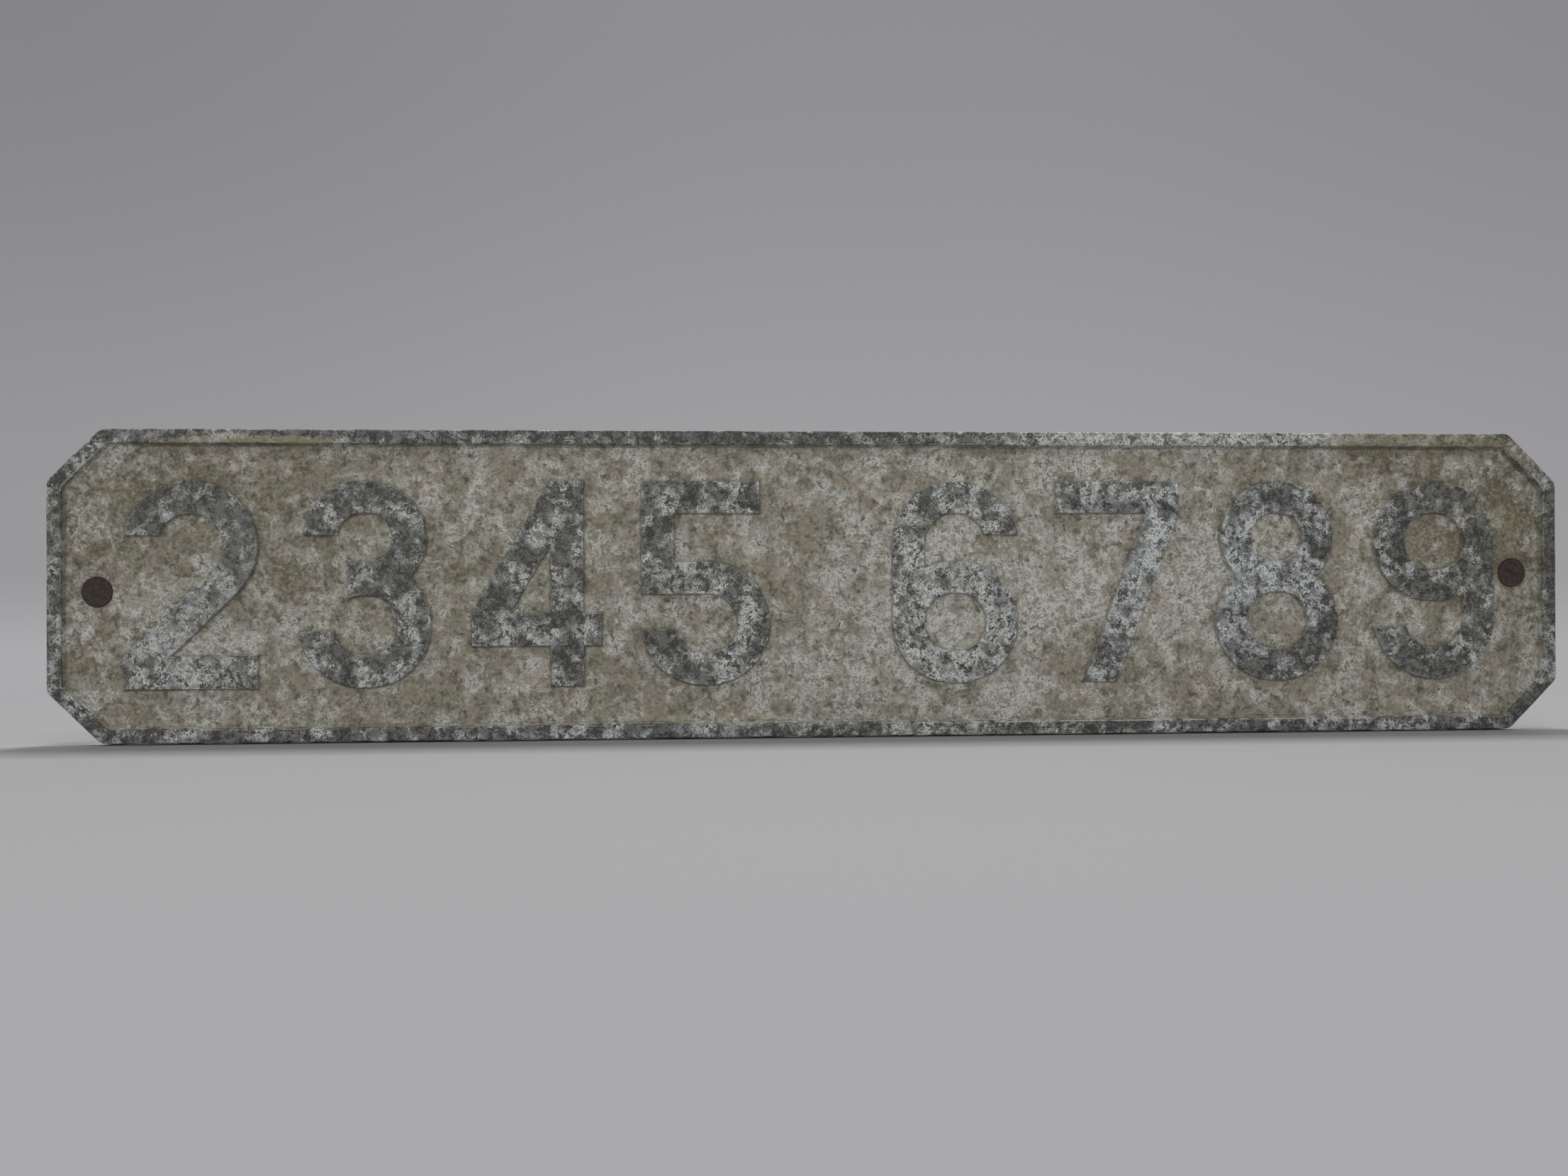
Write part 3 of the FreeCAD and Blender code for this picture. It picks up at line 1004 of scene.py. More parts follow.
    def stain_coats(self, sheet: NodeSheet, blotch: Signal) -> list[Coat]:
        """Brown and mossy stains over paint and crust alike, where water stood longest.

        Args:
            sheet: The material's nodes.
            blotch: Noise with blobs of 4 mm.

        Returns:
            The coats, from the lowest to the topmost.
        """
        marks = sheet.noise(6.0, 3.0, 0.62, 14.0, warp=(4.0, 3.0, 13.0))
        spots = sheet.noise(2.6, 2.0, 0.6, 15.0)
        wet = sheet.spread(self.stains)
        return [
            ((marks.rise(0.46, 0.34) * 0.55 + 0.12) * wet, self.stain),
            (marks.rise(0.5, 0.64) * wet * 0.4, self.moss),
            (spots.rise(0.45, 0.34) * wet * 0.5, self.stain),
            ((spots * 0.5 + blotch * 0.5).rise(0.54, 0.66) * wet * 0.4, self.chalk),
        ]

    def edge_coats(self, sheet: NodeSheet, blotch: Signal) -> list[Coat]:
        """A thin dark line along the feet, dirt with painted shade in the crease, and a light line along the
        crests, worn paint with a painted highlight.

        Args:
            sheet: The material's nodes.
            blotch: Noise with blobs of 4 mm.

        Returns:
            The coats, from the lowest to the topmost.
        """
        runs = sheet.noise(9.0, 2.0, 0.6, 10.0)
        bright = sheet.spread(self.worn_and_lit_crests)
        # Dark line along the wall feet: partly dirt, partly painted shade in the crease.
        foot = abs(sheet.stored("foot") - 0.2 + (blotch - 0.5) * 0.6).rise(0.6, 0.1)
        # Light line along the crests: partly worn paint, partly a painted highlight.
        crest = abs(sheet.stored("crest") - 0.1 + (blotch - 0.5) * 1.2).rise(0.45, 0.1)
        worn = crest * (runs + bright * 0.12).rise(0.46, 0.6) * (bright * 0.5 + 0.38)
        return [(foot * runs.rise(0.62, 0.42) * 0.35, self.grime_and_shade), (worn, self.crest_wear_and_highlight)]

    def under_rim_dirt_and_shade(self, sheet: NodeSheet, blotch: Signal, broad: Signal) -> Signal:
        """How much dirt and painted shade darken the field along the inner foot of the rim.

        Args:
            sheet: The material's nodes.
            blotch: Noise with blobs of 4 mm.
            broad: Noise with blobs of 30 mm.

        Returns:
            Share of the dirt and painted shade, from 0 to 1.
        """
        below = sheet.stored("below_rim")
        # A soft band up to 6 mm from the rim's foot and a narrow dark band at it: partly dirt, partly
        # painted shade.
        wide_dark_band = abs(below - 1.0 + (blotch - 0.5) * 5).rise(6.0, 0.5) * 0.35
        narrow_dark_band = abs(below + 0.4 + (blotch - 0.5) * 3.2).rise(1.9, 0.3) * (broad + blotch).rise(0.85, 1.15)
        return wide_dark_band.most(narrow_dark_band) * sheet.spread(self.dirt_and_shade_under_rim)


@dataclass(frozen=True)
class RustedSteel(Finish):
    """Dark, scaly rust over steel."""

    name: str = "rusted_screw_steel"
    dark: Colour = tone(33, 27, 23)
    brown: Colour = tone(56, 46, 39)
    orange: Colour = tone(80, 58, 42)

    def shader(self, sheet: NodeSheet) -> Signal:
        """Brown scale with orange specks.

        Args:
            sheet: The material's nodes.

        Returns:
            The shader.
        """
        scale = sheet.noise(1.6, 4.0, 0.65, 1.0)
        specks = sheet.noise(0.8, 3.0, 0.6, 2.0)
        colour = sheet.coats(
            self.dark, (scale.rise(0.35, 0.65), self.brown), (specks.rise(0.6, 0.72) * 0.6, self.orange)
        )
        return self.matt(sheet, colour, 0.9 - specks * 0.1, scale + specks * 0.5, 0.9)


@dataclass(frozen=True)
class PaleFloor(Finish):
    """Plain pale board that fades into the background well behind the object."""

    name: str = "pale_floor"
    board: Colour = tone(147, 147, 148)
    fade_from: float = 150.0
    fade_to: float = 700.0

    def shader(self, sheet: NodeSheet) -> Signal:
        """Matt board, and nothing at all far from the object.

        Args:
            sheet: The material's nodes.

        Returns:
            The shader.
        """
        board = sheet.node("ShaderNodeBsdfPrincipled", inputs={"Base Color": self.board, "Roughness": 0.9})
        drawn = sheet.vector("MULTIPLY", sheet.place, (0.5, 1.0, 1.0))
        away = sheet.vector("DISTANCE", drawn, (0.0, 0.0, 0.0)).rise(self.fade_from, self.fade_to)
        clear = sheet.node("ShaderNodeBsdfTransparent")
        return sheet.node("ShaderNodeMixShader", inputs={0: away, 1: board, 2: clear})


# Pieces


def placed_object(name: str, data: bpy.types.ID) -> bpy.types.Object:
    """A mesh, lamp or camera as an object at the origin of the scene.

    Args:
        name: Name of the object.
        data: What it holds.

    Returns:
        The object.
    """
    made = bpy.data.objects.new(name, data)
    bpy.context.scene.collection.objects.link(made)
    return made


class NodeTool:
    """One Geometry Nodes tree that is worked out for one piece."""

    def __init__(self, name: str, piece: "NamePlate | FixingScrews", *sizes: str) -> None:
        """Make the tree, with inputs for sizes of the piece, its seed and its finish.

        Args:
            name: Name of the tree.
            piece: What the tree is for.
            sizes: Names of the piece's fields that the tree takes.
        """
        self.tree = bpy.data.node_groups.new(name, "GeometryNodeTree")
        self.sheet = NodeSheet(self.tree, "GeometryNodeInputPosition", 0, 1 / MM)
        for way in ("INPUT", "OUTPUT"):
            self.tree.interface.new_socket(name="Geometry", in_out=way, socket_type="NodeSocketGeometry")
        given = {size: getattr(piece, size) for size in (*sizes, "seed")}
        self.values = {}
        for size, value in {**given, "finish": piece.finish.material()}.items():
            kind = "NodeSocketFloat" if isinstance(value, float) else "NodeSocketMaterial"
            label = size.replace("_", " ").title()
            socket = self.tree.interface.new_socket(name=label, in_out="INPUT", socket_type=kind)
            self.values[socket.identifier] = value
        self.entry = self.tree.nodes.new("NodeGroupInput")

    def given(self, label: str) -> Signal:
        """One of the tree's inputs."""
        return Signal(self.sheet, self.entry.outputs[label])

    def noise(self, size: object, detail: float) -> Signal:
        """Noise over the positions in millimetres, from the tree's seed."""
        inputs = {"Vector": self.sheet.place, "W": self.given("Seed"), "Scale": 1 / size, "Detail": detail}
        return self.sheet.node("ShaderNodeTexNoise", {"noise_dimensions": "4D"}, inputs)

    def moved(self, geometry: Signal, **inputs: Signal) -> Signal:
        """The geometry with its points set to a Position or moved by an Offset."""
        return self.sheet.node("GeometryNodeSetPosition", inputs={"Geometry": geometry, **inputs})

    def finish(self, geometry: Signal, depth: Signal) -> None:
        """Close the tree with the geometry sunk in by a depth in millimetres, made real and dressed.

        Args:
            geometry: What the tree has made.
            depth: How far it is sunk in.
        """
        sheet = self.sheet
        inward = sheet.scaled(sheet.node("GeometryNodeInputNormal"), -depth * MM)
        sunk = self.moved(geometry, Offset=inward)
        real = sheet.node("GeometryNodeRealizeInstances", inputs={"Geometry": sunk})
        inputs = {"Geometry": real, "Material": self.given("Finish")}
        sheet.node("NodeGroupOutput", inputs={0: sheet.node("GeometryNodeSetMaterial", inputs=inputs)})

    def applied(self, mesh: bpy.types.Mesh, name: str) -> bpy.types.Object:
        """The tree worked out on a mesh, with its values set by the sockets' identifiers.

        Args:
            mesh: What the tree starts from.
            name: Name of the piece.

        Returns:
            The result, as a plain mesh without the modifier.
        """
        raw = placed_object(mesh.name, mesh)
        modifier = raw.modifiers.new(self.tree.name, "NODES")
        modifier.node_group = self.tree
        for identifier, value in self.values.items():
            modifier[identifier] = value
        bpy.context.view_layer.update()
        result = bpy.data.meshes.new_from_object(raw.evaluated_get(bpy.context.evaluated_depsgraph_get()))
        dress = next(material for material in result.materials if material)
        result.materials.clear()
        result.materials.append(dress)
        bpy.data.objects.remove(raw)
        result.name = name
        result.shade_smooth()
        return placed_object(name, result)


@dataclass(frozen=True)
class ScrewPlace:
    """Where one screw sits, and how it looks there."""

    x: float
    z: float
    slot_angle: float
    slot_depth: float
    slot_length: float


@dataclass
class NamePlate:
    """The casting: plate, rim, figures and screw holes in one closed skin."""

    places: tuple[ScrewPlace, ...]
    length: float = 762.0
    height: float = 155.0
    corner_cut: float = 26.0
    corner_rounding: float = 6.0
    field_corner_rounding: float = 3.0
    field_thickness: float = 5.5
    edge_draft: float = 0.8
    rim_width: float = 6.8
    rim_relief: float = 3.0
    rim_inner_slope: float = 1.4
    rim_edge_rounding: float = 0.9
    rim_edge_steps: int = 5
    rim_foot_rounding: float = 0.9
    figure_relief: float = 2.8
    figure_draft: float = 0.6
    figure_edge_rounding: float = 0.5
    figure_foot_rounding: float = 0.6
    figures_above_middle: float = 0.6
    first_figure: float = -312.5
    last_figure: float = 315.0
    word_space: float = 126.0
    hole_radius: float = 7.45
    hole_depth: float = 0.8
    bore_radius: float = 4.85
    hole_edge_rounding: float = 0.3
    hole_edge_ease: float = 0.1
    hole_rings: tuple[int, ...] = (0, 1, 2, 5)
    back_edge_rounding: float = 0.4
    back_edge_steps: int = 4
    back_ring: float = 0.8
    figure_margin: float = 6.0
    outline_wobble: float = 0.12
    wobble_size: float = 14.0
    wobble_seed: int = 5
    bow: float = 0.12
    bow_reach: float = 14.0
    bow_swells: tuple[tuple[float, int], ...] = ((70.0, 21), (90.0, 22))
    dip: float = 0.15
    dip_middle: float = 112.0
    dip_reach: float = 45.0
    loop_spacing: float = 1.4
    field_spacing: float = 2.3
    back_spacing: float = 5.0
    clear_share: float = 0.4
    jitter: float = 0.2
    jitter_seed: int = 11
    grid_step: float = 0.3
    grid_margin: float = 3.0
    thinning: float = 0.02
    sliver: float = 0.002
    weld: float = 0.004
    flat_run: float = 1.0
    mark_range: Point = (-4.0, 12.0)
    waviness: float = 0.16
    waviness_size: float = 16.0
    grain: float = 0.10
    grain_size: float = 4.5
    seed: float = 3.0
    figures: tuple[Numeral, ...] = tuple(Numeral)
    finish: Finish = field(default_factory=WeatheredPaint)

    def __post_init__(self) -> None:
        """Work out the outlines, sections and places that the sizes give."""
        sides = (self.length, self.height, self.corner_cut)
        inner_inset = self.edge_draft + self.rim_width + self.rim_inner_slope
        self.outline = ClippedOutline(*sides, 0, self.corner_rounding)
        self.inner = ClippedOutline(*sides, inner_inset, self.field_corner_rounding)
        floor, relief = self.field_thickness, self.figure_relief
        top = floor + self.rim_relief
        self.outer_section = eased(
            [(0, self.back_edge_rounding), (self.edge_draft, top), (BEYOND, top)],
            [self.rim_edge_rounding],
            self.rim_edge_steps,
        )
        self.inner_section = eased(
            [(BEFORE, floor), (0, floor), (self.rim_inner_slope, top), (BEYOND, top)],
            [self.rim_foot_rounding, self.rim_edge_rounding],
        )
        self.figure_section = eased(
            [(BEFORE, 0), (0, 0), (self.figure_draft, relief), (BEYOND, relief)],
            [self.figure_foot_rounding, self.figure_edge_rounding],
        )
        group = len(self.figures) // 2
        pitch = (self.last_figure - self.first_figure - self.word_space) / (2 * group - 2)
        left = [self.first_figure + pitch * n for n in range(group)]
        right = [self.last_figure - pitch * n for n in reversed(range(group))]
        self.placed = list(zip(self.figures, left + right))
        self.figure_foot = self.figures_above_middle - BlockFigures.height / 2

    def figure_distance(self, x: Array, z: Array) -> Array:
        """Distance from the nearest figure's outline, negative inside it.

        Args:
            x: Distances along the plate.
            z: Heights.

        Returns:
            One distance for each place.
        """
        nearest = np.full(np.shape(x), np.inf)
        for numeral, middle in self.placed:
            near = np.abs(x - middle) < BlockFigures.width / 2 + self.figure_margin
            away = BlockFigures(x[near] - middle, z[near] - self.figure_foot).distance(numeral)
            nearest[near] = np.minimum(nearest[near], away)
        return nearest + self.outline_wobble * swell(x, z, self.wobble_size, self.wobble_seed)

    def hole_distance(self, x: Array, z: Array) -> Array:
        """Distance from the nearest screw's middle."""
        return np.min([np.hypot(x - place.x, z - place.z) for place in self.places], axis=0)

    def front_height(self, x: Array, z: Array) -> Array:
        """Height of the front skin over the back, at each place.

        Args:
            x: Distances along the plate.
            z: Heights.

        Returns:
            Heights in millimetres.
        """
        outer = np.interp(-self.outline.distance(x, z), *self.outer_section.T)
        inner = np.interp(self.inner.distance(x, z), *self.inner_section.T)
        raised = self.field_thickness + np.interp(-self.figure_distance(x, z), *self.figure_section.T)
        edge = self.hole_edge_rounding
        from_hole = self.hole_distance(x, z) - self.hole_radius
        mouth = np.interp(from_hole, [0, edge, 2 * edge], [-edge, -self.hole_edge_ease * edge, 0])
        return np.minimum(outer, np.maximum(inner, raised)) + mouth

    def figure_loops(self) -> list[Array]:
        """Closed lines round every figure at each bend of its section.

        Returns:
            One array of points for each line.
        """
        levels = [-across for across, _ in self.figure_section[1:-1]]
        levels = [levels[0] + self.flat_run, *levels, levels[-1] - self.flat_run]
        margin = 3 * self.grid_step + self.grid_margin
        half = BlockFigures.width / 2
        across = np.arange(-half - margin, half + margin, self.grid_step)
        up = np.arange(-margin, BlockFigures.height + margin, self.grid_step)
        grid_x, grid_z = np.meshgrid(across, up, indexing="ij")
        loops = []
        for _, middle in self.placed:
            values = self.figure_distance(grid_x + middle, grid_z + self.figure_foot)
            origin = (across[0] + middle, up[0] + self.figure_foot)
            for level in levels:
                found = level_loops(values, origin, self.grid_step, level)
                loops += [divided(thinned(loop, self.thinning), self.loop_spacing) for loop in found]
        return loops

    @staticmethod
    def circle(place: ScrewPlace, radius: float) -> Array:
        """Closed line round one screw's middle."""
        angles = np.arange(CIRCLE_POINTS) * 2 * math.pi / CIRCLE_POINTS
        return np.stack([place.x + radius * np.cos(angles), place.z + radius * np.sin(angles)], 1)

    def scattered(self, spacing: float) -> Array:
        """Points of a triangular grid over the whole plate, slightly moved about.

        Args:
            spacing: Distance between neighbours.

        Returns:
            One point in each row.
        """
        rows = np.arange(-self.height / 2, self.height / 2, spacing * math.sqrt(3) / 2)
        columns = np.arange(-self.length / 2, self.length / 2, spacing)
        x, z = np.meshgrid(columns, rows)
        x = x + spacing / 2 * (np.arange(len(rows)) % 2)[:, None]
        draw = np.random.default_rng(self.jitter_seed)
        jitter = draw.uniform(-self.jitter, self.jitter, (2, *x.shape)) * spacing
        return np.stack([(x + jitter[0]).ravel(), (z + jitter[1]).ravel()], 1)

    def meshed(
        self, loops: list[Array], rings: list[float], points: Array, clear: float, inset: float
    ) -> Skin:
        """Triangles of the plane inside the outline and outside the holes.

        Args:
            loops: Closed lines that become edges.
            rings: Radii of further lines round each screw's middle. The first is the hole's.
            points: Places of corners between the lines.
            clear: What these keep clear of the rings.
            inset: Distance of the outermost line from the outline.

        Returns:
            Points of the plane, and the three point numbers of each triangle.
        """
        corners, edges = [], []
        for loop in [*loops, *(self.circle(place, radius) for place in self.places for radius in rings)]:
            start, count = len(corners), len(loop)
            corners += loop.tolist()
            edges += [(start + n, start + (n + 1) % count) for n in range(count)]
        corners += points[self.hole_distance(*points.T) > rings[-1] + clear].tolist()
        made = delaunay_2d_cdt([Vector(corner) for corner in corners], edges, [], 0, 1e-6, False)
        flat, faces = np.array([tuple(corner) for corner in made[0]]), np.array(made[2])
        middle = flat[faces].mean(1)
        inside = self.outline.distance(*middle.T) < -inset - self.sliver
        inside &= self.hole_distance(*middle.T) > rings[0] * math.cos(math.pi / CIRCLE_POINTS)
        return flat, faces[inside]

    def front(self) -> Skin:
        """Corners and triangles of the front skin.

        Returns:
            The skin, before the outline is bent.
        """
        outer_steps = [across for across, _ in self.outer_section[:-1]]
        inner_steps = [across for across, _ in self.inner_section[1:-1]]
        loops = [self.outline.loop(-step, self.loop_spacing) for step in outer_steps]
        loops += [self.inner.loop(step, self.loop_spacing) for step in inner_steps]
        points = self.scattered(self.field_spacing)
        clear = self.field_spacing * self.clear_share
        inner, figure = self.inner.distance(*points.T), self.figure_distance(*points.T)
        first, last = self.figure_section[1, 0] - self.flat_run, self.figure_section[-2, 0] + self.flat_run
        free = -self.outline.distance(*points.T) > outer_steps[-1] + clear
        free &= (inner < inner_steps[0] - clear) | (inner > inner_steps[-1] + clear)
        free &= (figure > clear - first) | (-figure > last + clear)
        rings = [self.hole_radius + self.hole_edge_rounding * n for n in self.hole_rings]
        flat, faces = self.meshed(loops + self.figure_loops(), rings, points[free], clear, 0)
        return lifted(flat, self.front_height(*flat.T)), faces

    def back(self) -> Skin:
        """Corners and triangles of the flat back.

        Returns:
            The skin, before the outline is bent.
        """
        edge, rim = self.back_edge_rounding, self.back_edge_rounding + self.flat_run
        loops = [self.outline.loop(-edge, self.loop_spacing), self.outline.loop(-rim, 2 * self.loop_spacing)]
        points = self.scattered(self.back_spacing)
        clear = self.back_spacing * self.clear_share
        points = points[-self.outline.distance(*points.T) > rim + clear]
        rings = [self.bore_radius + extra for extra in (edge, edge + self.back_ring)]
        flat, faces = self.meshed(loops, rings, points, clear, edge)
        return lifted(flat, 0), faces[:, ::-1]

    @staticmethod
    def strip(rings: Sequence[tuple[Array, float]]) -> Skin:
        """Band of faces through closed rings of equal count, each of them flat points and their height.

        Args:
            rings: The rings, in the order of the band.

        Returns:
            Corners and triangles of the band.
        """
        count = len(rings[0][0])
        here = np.arange(count)
        after = (here + 1) % count
        ends = ((after, after + count), (after + count, here + count))
        band = np.vstack([np.stack([here, *pair], 1) for pair in ends])
        faces = [band + count * level for level in range(len(rings) - 1)]
        return np.vstack([lifted(ring, height) for ring, height in rings]), np.vstack(faces)

    def bands(self) -> list[Skin]:
        """Rounded back edge of the plate, and the walls of the screw holes.

        Returns:
            One skin for each band.
        """
        edge, floor = self.back_edge_rounding, self.field_thickness
        angles = np.linspace(0, math.pi / 2, self.back_edge_steps)[::-1]
        loops = [self.outline.loop(-edge * (1 - math.cos(angle)), self.loop_spacing) for angle in angles]
        seat = floor - self.hole_depth
        section = [
            (self.bore_radius + edge, 0),
            (self.bore_radius, edge),
            (self.bore_radius, seat - (self.hole_radius - self.bore_radius)),
            (self.hole_radius, seat),
            (self.hole_radius, floor - self.hole_edge_rounding),
        ]
        rounding = [(loop, edge * (1 - math.sin(angle))) for loop, angle in zip(loops, angles)]
        walls = (
            [(self.circle(place, radius), height) for radius, height in section] for place in self.places
        )
        return [self.strip(rings) for rings in (rounding, *walls)]

    def skin(self) -> bpy.types.Mesh:
        """The whole closed skin as one mesh in metres, with its distances from edges as attributes.

        Returns:
            The mesh.
        """
        parts = [self.front(), self.back(), *self.bands()]
        offsets = np.cumsum([0] + [len(corners) for corners, _ in parts])
        corners = self.bent(np.vstack([corners for corners, _ in parts]))
        faces = np.vstack([faces + offset for (_, faces), offset in zip(parts, offsets)])
        mesh = bpy.data.meshes.new("casting_skin")
        mesh.from_pydata((corners * MM).tolist(), [], faces.tolist())
        shape = bmesh.new()
        shape.from_mesh(mesh)
        bmesh.ops.remove_doubles(shape, verts=shape.verts, dist=self.weld * MM)
        loose = [vertex for vertex in shape.verts if not vertex.link_faces]
        bmesh.ops.delete(shape, geom=loose, context="VERTS")
        bmesh.ops.recalc_face_normals(shape, faces=shape.faces)
        shape.to_mesh(mesh)
        shape.free()
        self.mark(mesh)
        return mesh

    def bent(self, corners: Array) -> Array:
        """The corners with the outline's slight unevenness, always drawn inwards.

        Args:
            corners: Corners in millimetres, one row each.

        Returns:
            The corners in their new places.
        """
        x, _, z = corners.T
        start = self.height / 2 - self.bow_reach
        forward = np.clip(-corners[:, 1] / self.field_thickness, 0, 1)
        low, high = (forward * np.clip((side - start) / self.bow_reach, 0, 1) ** 2 for side in (-z, z))
        sag, lift = (self.bow + self.bow * swell(x, 0 * z, *sort) for sort in self.bow_swells)
        sag += self.dip * (1 - np.exp(-((x - self.dip_middle) / self.dip_reach) ** 2))
        bent = corners.copy()
        bent[:, 2] += low * (sag - sag.min()) - high * (lift - lift.min())
        return bent

    def mark(self, mesh: bpy.types.Mesh) -> None:
        """Store how far each corner lies inside a raised top and outside a wall's foot, in millimetres.

        Args:
            mesh: The skin's mesh.
        """
        places = np.empty(len(mesh.vertices) * 3)
        mesh.vertices.foreach_get("co", places)
        x, _, z = places.reshape(-1, 3).T / MM
        outline, inner = self.outline.distance(x, z), self.inner.distance(x, z)
        figure = self.figure_distance(x, z)
        rim_top = np.minimum(-outline - self.edge_draft, inner - self.rim_inner_slope)
        distances = {
            "crest": np.maximum(rim_top, -figure - self.figure_draft),
            "foot": np.minimum(figure, -inner),
            "inset": -outline,
            "below_rim": -inner,
        }
        for name, values in distances.items():
            attribute = mesh.attributes.new(name, "FLOAT", "POINT")
            attribute.data.foreach_set("value", np.clip(values, *self.mark_range).astype(np.float32))

    def cast_skin(self) -> NodeTool:
        """Geometry Nodes that give the smooth skin the slight waviness and grain of a sand casting.

        Returns:
            The finished tree.
        """
        tool = NodeTool("cast_skin", self, "waviness", "waviness_size", "grain", "grain_size")
        waves, grain = (
            tool.noise(tool.given(f"{label} Size"), 1.0).rise(0.25, 0.75) * tool.given(label)
            for label in ("Waviness", "Grain")
        )
        tool.finish(tool.given("Geometry"), waves + grain)
        return tool

    def build(self) -> bpy.types.Object:
        """Make the casting, dress it and set it in the place of its node.

        Returns:
            The piece.
        """
        piece = self.cast_skin().applied(self.skin(), "cast_name_plate")
        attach(piece, BODY)
        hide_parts("name_plate")
        return piece


@dataclass
class FixingScrews:
    """The two slotted countersunk screws, rusted into the plate."""

    places: tuple[ScrewPlace, ScrewPlace] = (
        ScrewPlace(-357.5, -2.8, 38.0, 0.2, 9.0),
        ScrewPlace(358.0, 4.3, -20.0, 0.6, 7.0),
    )
    head_top: float = 5.2
    head_radius: float = 7.3
    head_band: float = 0.5
    shank_radius: float = 3.95
    root_radius: float = 3.2
    length: float = 31.75
    tip_chamfer: float = 0.9
    plain_length: float = 6.0
    thread_pitch: float = 1.41
    slot_width: float = 1.5
    scale_depth: float = 0.16
    scale_size: float = 1.3
    thread_fullness: float = 1.15
    thread_run_in: float = 2.0
    least_radius: float = 0.1
    stock_divisions: tuple[int, int, int] = (64, 200, 8)
    voxel: float = 0.22
    seed: float = 5.0
    finish: Finish = field(default_factory=RustedSteel)

    def build(self) -> bpy.types.Object:
        """Make both screws, dress them and set them in the place of their node.

        Returns:
            The piece.
        """
        piece = self.screw_tool().applied(bpy.data.meshes.new("screw_seed"), "rusted_screws")
        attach(piece, BODY)
        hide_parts("fixing_screws")
        return piece

    def screw_tool(self) -> NodeTool:
        """Geometry Nodes that turn one screw, cut its slot and set two of them in the plate.

        Returns:
            The finished tree.
        """
        tool = NodeTool(
            "slotted_screws", self, "head_radius", "head_band", "shank_radius", "root_radius", "length",
            "tip_chamfer", "plain_length", "thread_pitch", "slot_width", "scale_depth",
        )
        turned = self.turned(tool)
        joined = tool.tree.nodes.new("GeometryNodeJoinGeometry")
        for place in self.places:
            tool.tree.links.new(self.slotted(tool, turned, place).socket, joined.inputs[0])
        scale = tool.noise(self.scale_size, 2.0).rise(0.3, 0.7)
        tool.finish(Signal(tool.sheet, joined.outputs[0]), scale * tool.given("Scale Depth"))
        return tool

    def turned(self, tool: NodeTool) -> Signal:
        """One screw without its slot, its head's top at the origin and its axis along Z, in millimetres.

        A fine cylinder is drawn in to the screw's radius at each height, with the thread as a helical wave.

        Args:
            tool: The screws' tree.

        Returns:
            The screw's geometry.
        """
        sheet = tool.sheet
        labels = ("Head Radius", "Head Band", "Shank Radius", "Root Radius", "Length")
        head, band, shank, root, length = (tool.given(label) for label in labels)
        divisions = zip(("Vertices", "Side Segments", "Fill Segments"), self.stock_divisions)
        inputs = {**dict(divisions), "Radius": 1.0, "Depth": length}
        stock = sheet.node("GeometryNodeMeshCylinder", {"fill_type": "TRIANGLE_FAN"}, inputs, "Mesh")
        place = sheet.node("GeometryNodeInputPosition")
        x, y, z = (sheet.part(place, axis) for axis in "XYZ")
        down = length / 2 - z
        cone = (head - (down - band).most(0.0)).most(shank)
        phase = down / tool.given("Thread Pitch") + sheet.math("ARCTAN2", y, x) / (2 * math.pi)
        wave = abs(phase - sheet.math("ROUND", phase)) * 2
        past_head = down - head + shank - band - tool.given("Plain Length")
        groove = (wave * self.thread_fullness).least(1.0) * past_head.rise(0.0, self.thread_run_in)
        tip = shank - tool.given("Tip Chamfer") + (length - down)
        radius = (cone - groove * (shank - root)).least(tip).most(self.least_radius)
        return tool.moved(stock, Position=sheet.combined(x * radius, y * radius, -down))

    def slotted(self, tool: NodeTool, screw: Signal, place: ScrewPlace) -> Signal:
        """The screw with its slot cut, made solid scale by scale, and set in its hole.

        Args:
            tool: The screws' tree.
            screw: The screw without its slot.
            place: Where it goes, and its slot.

        Returns:
            The screw's geometry.
        """
        node = tool.sheet.node
        size = tool.sheet.combined(place.slot_length, tool.given("Slot Width"), 2 * place.slot_depth)
        turn = (0.0, 0.0, math.radians(place.slot_angle))
        cutter = node("GeometryNodeMeshCube", inputs={"Size": size}, output="Mesh")
        cutter = node("GeometryNodeTransform", inputs={"Geometry": cutter, "Rotation": turn})
        cut = {"operation": "DIFFERENCE", "solver": "EXACT"}
        solid = node("GeometryNodeMeshBoolean", cut, {"Mesh 1": screw, "Mesh 2": cutter})
        fine, voxels = {"resolution_mode": "VOXEL_SIZE"}, {"Voxel Size": self.voxel}
        solid = node("GeometryNodeMeshToVolume", fine, {"Mesh": solid, **voxels, "Interior Band Width": 0.5})
        solid = node("GeometryNodeVolumeToMesh", fine, {"Volume": solid, **voxels, "Threshold": 0.1})
        return node("GeometryNodeTransform", inputs={
            "Geometry": solid,
            "Translation": (place.x * MM, -self.head_top * MM, place.z * MM),
            "Rotation": (math.pi / 2, 0.0, 0.0),
            "Scale": (MM, MM, MM),
        })


@dataclass(frozen=True)
class Lamp:
    """One soft lamp aimed at the object, in metres and watts."""

    name: str
    place: tuple[float, float, float]
    size: tuple[float, float]
    power: float


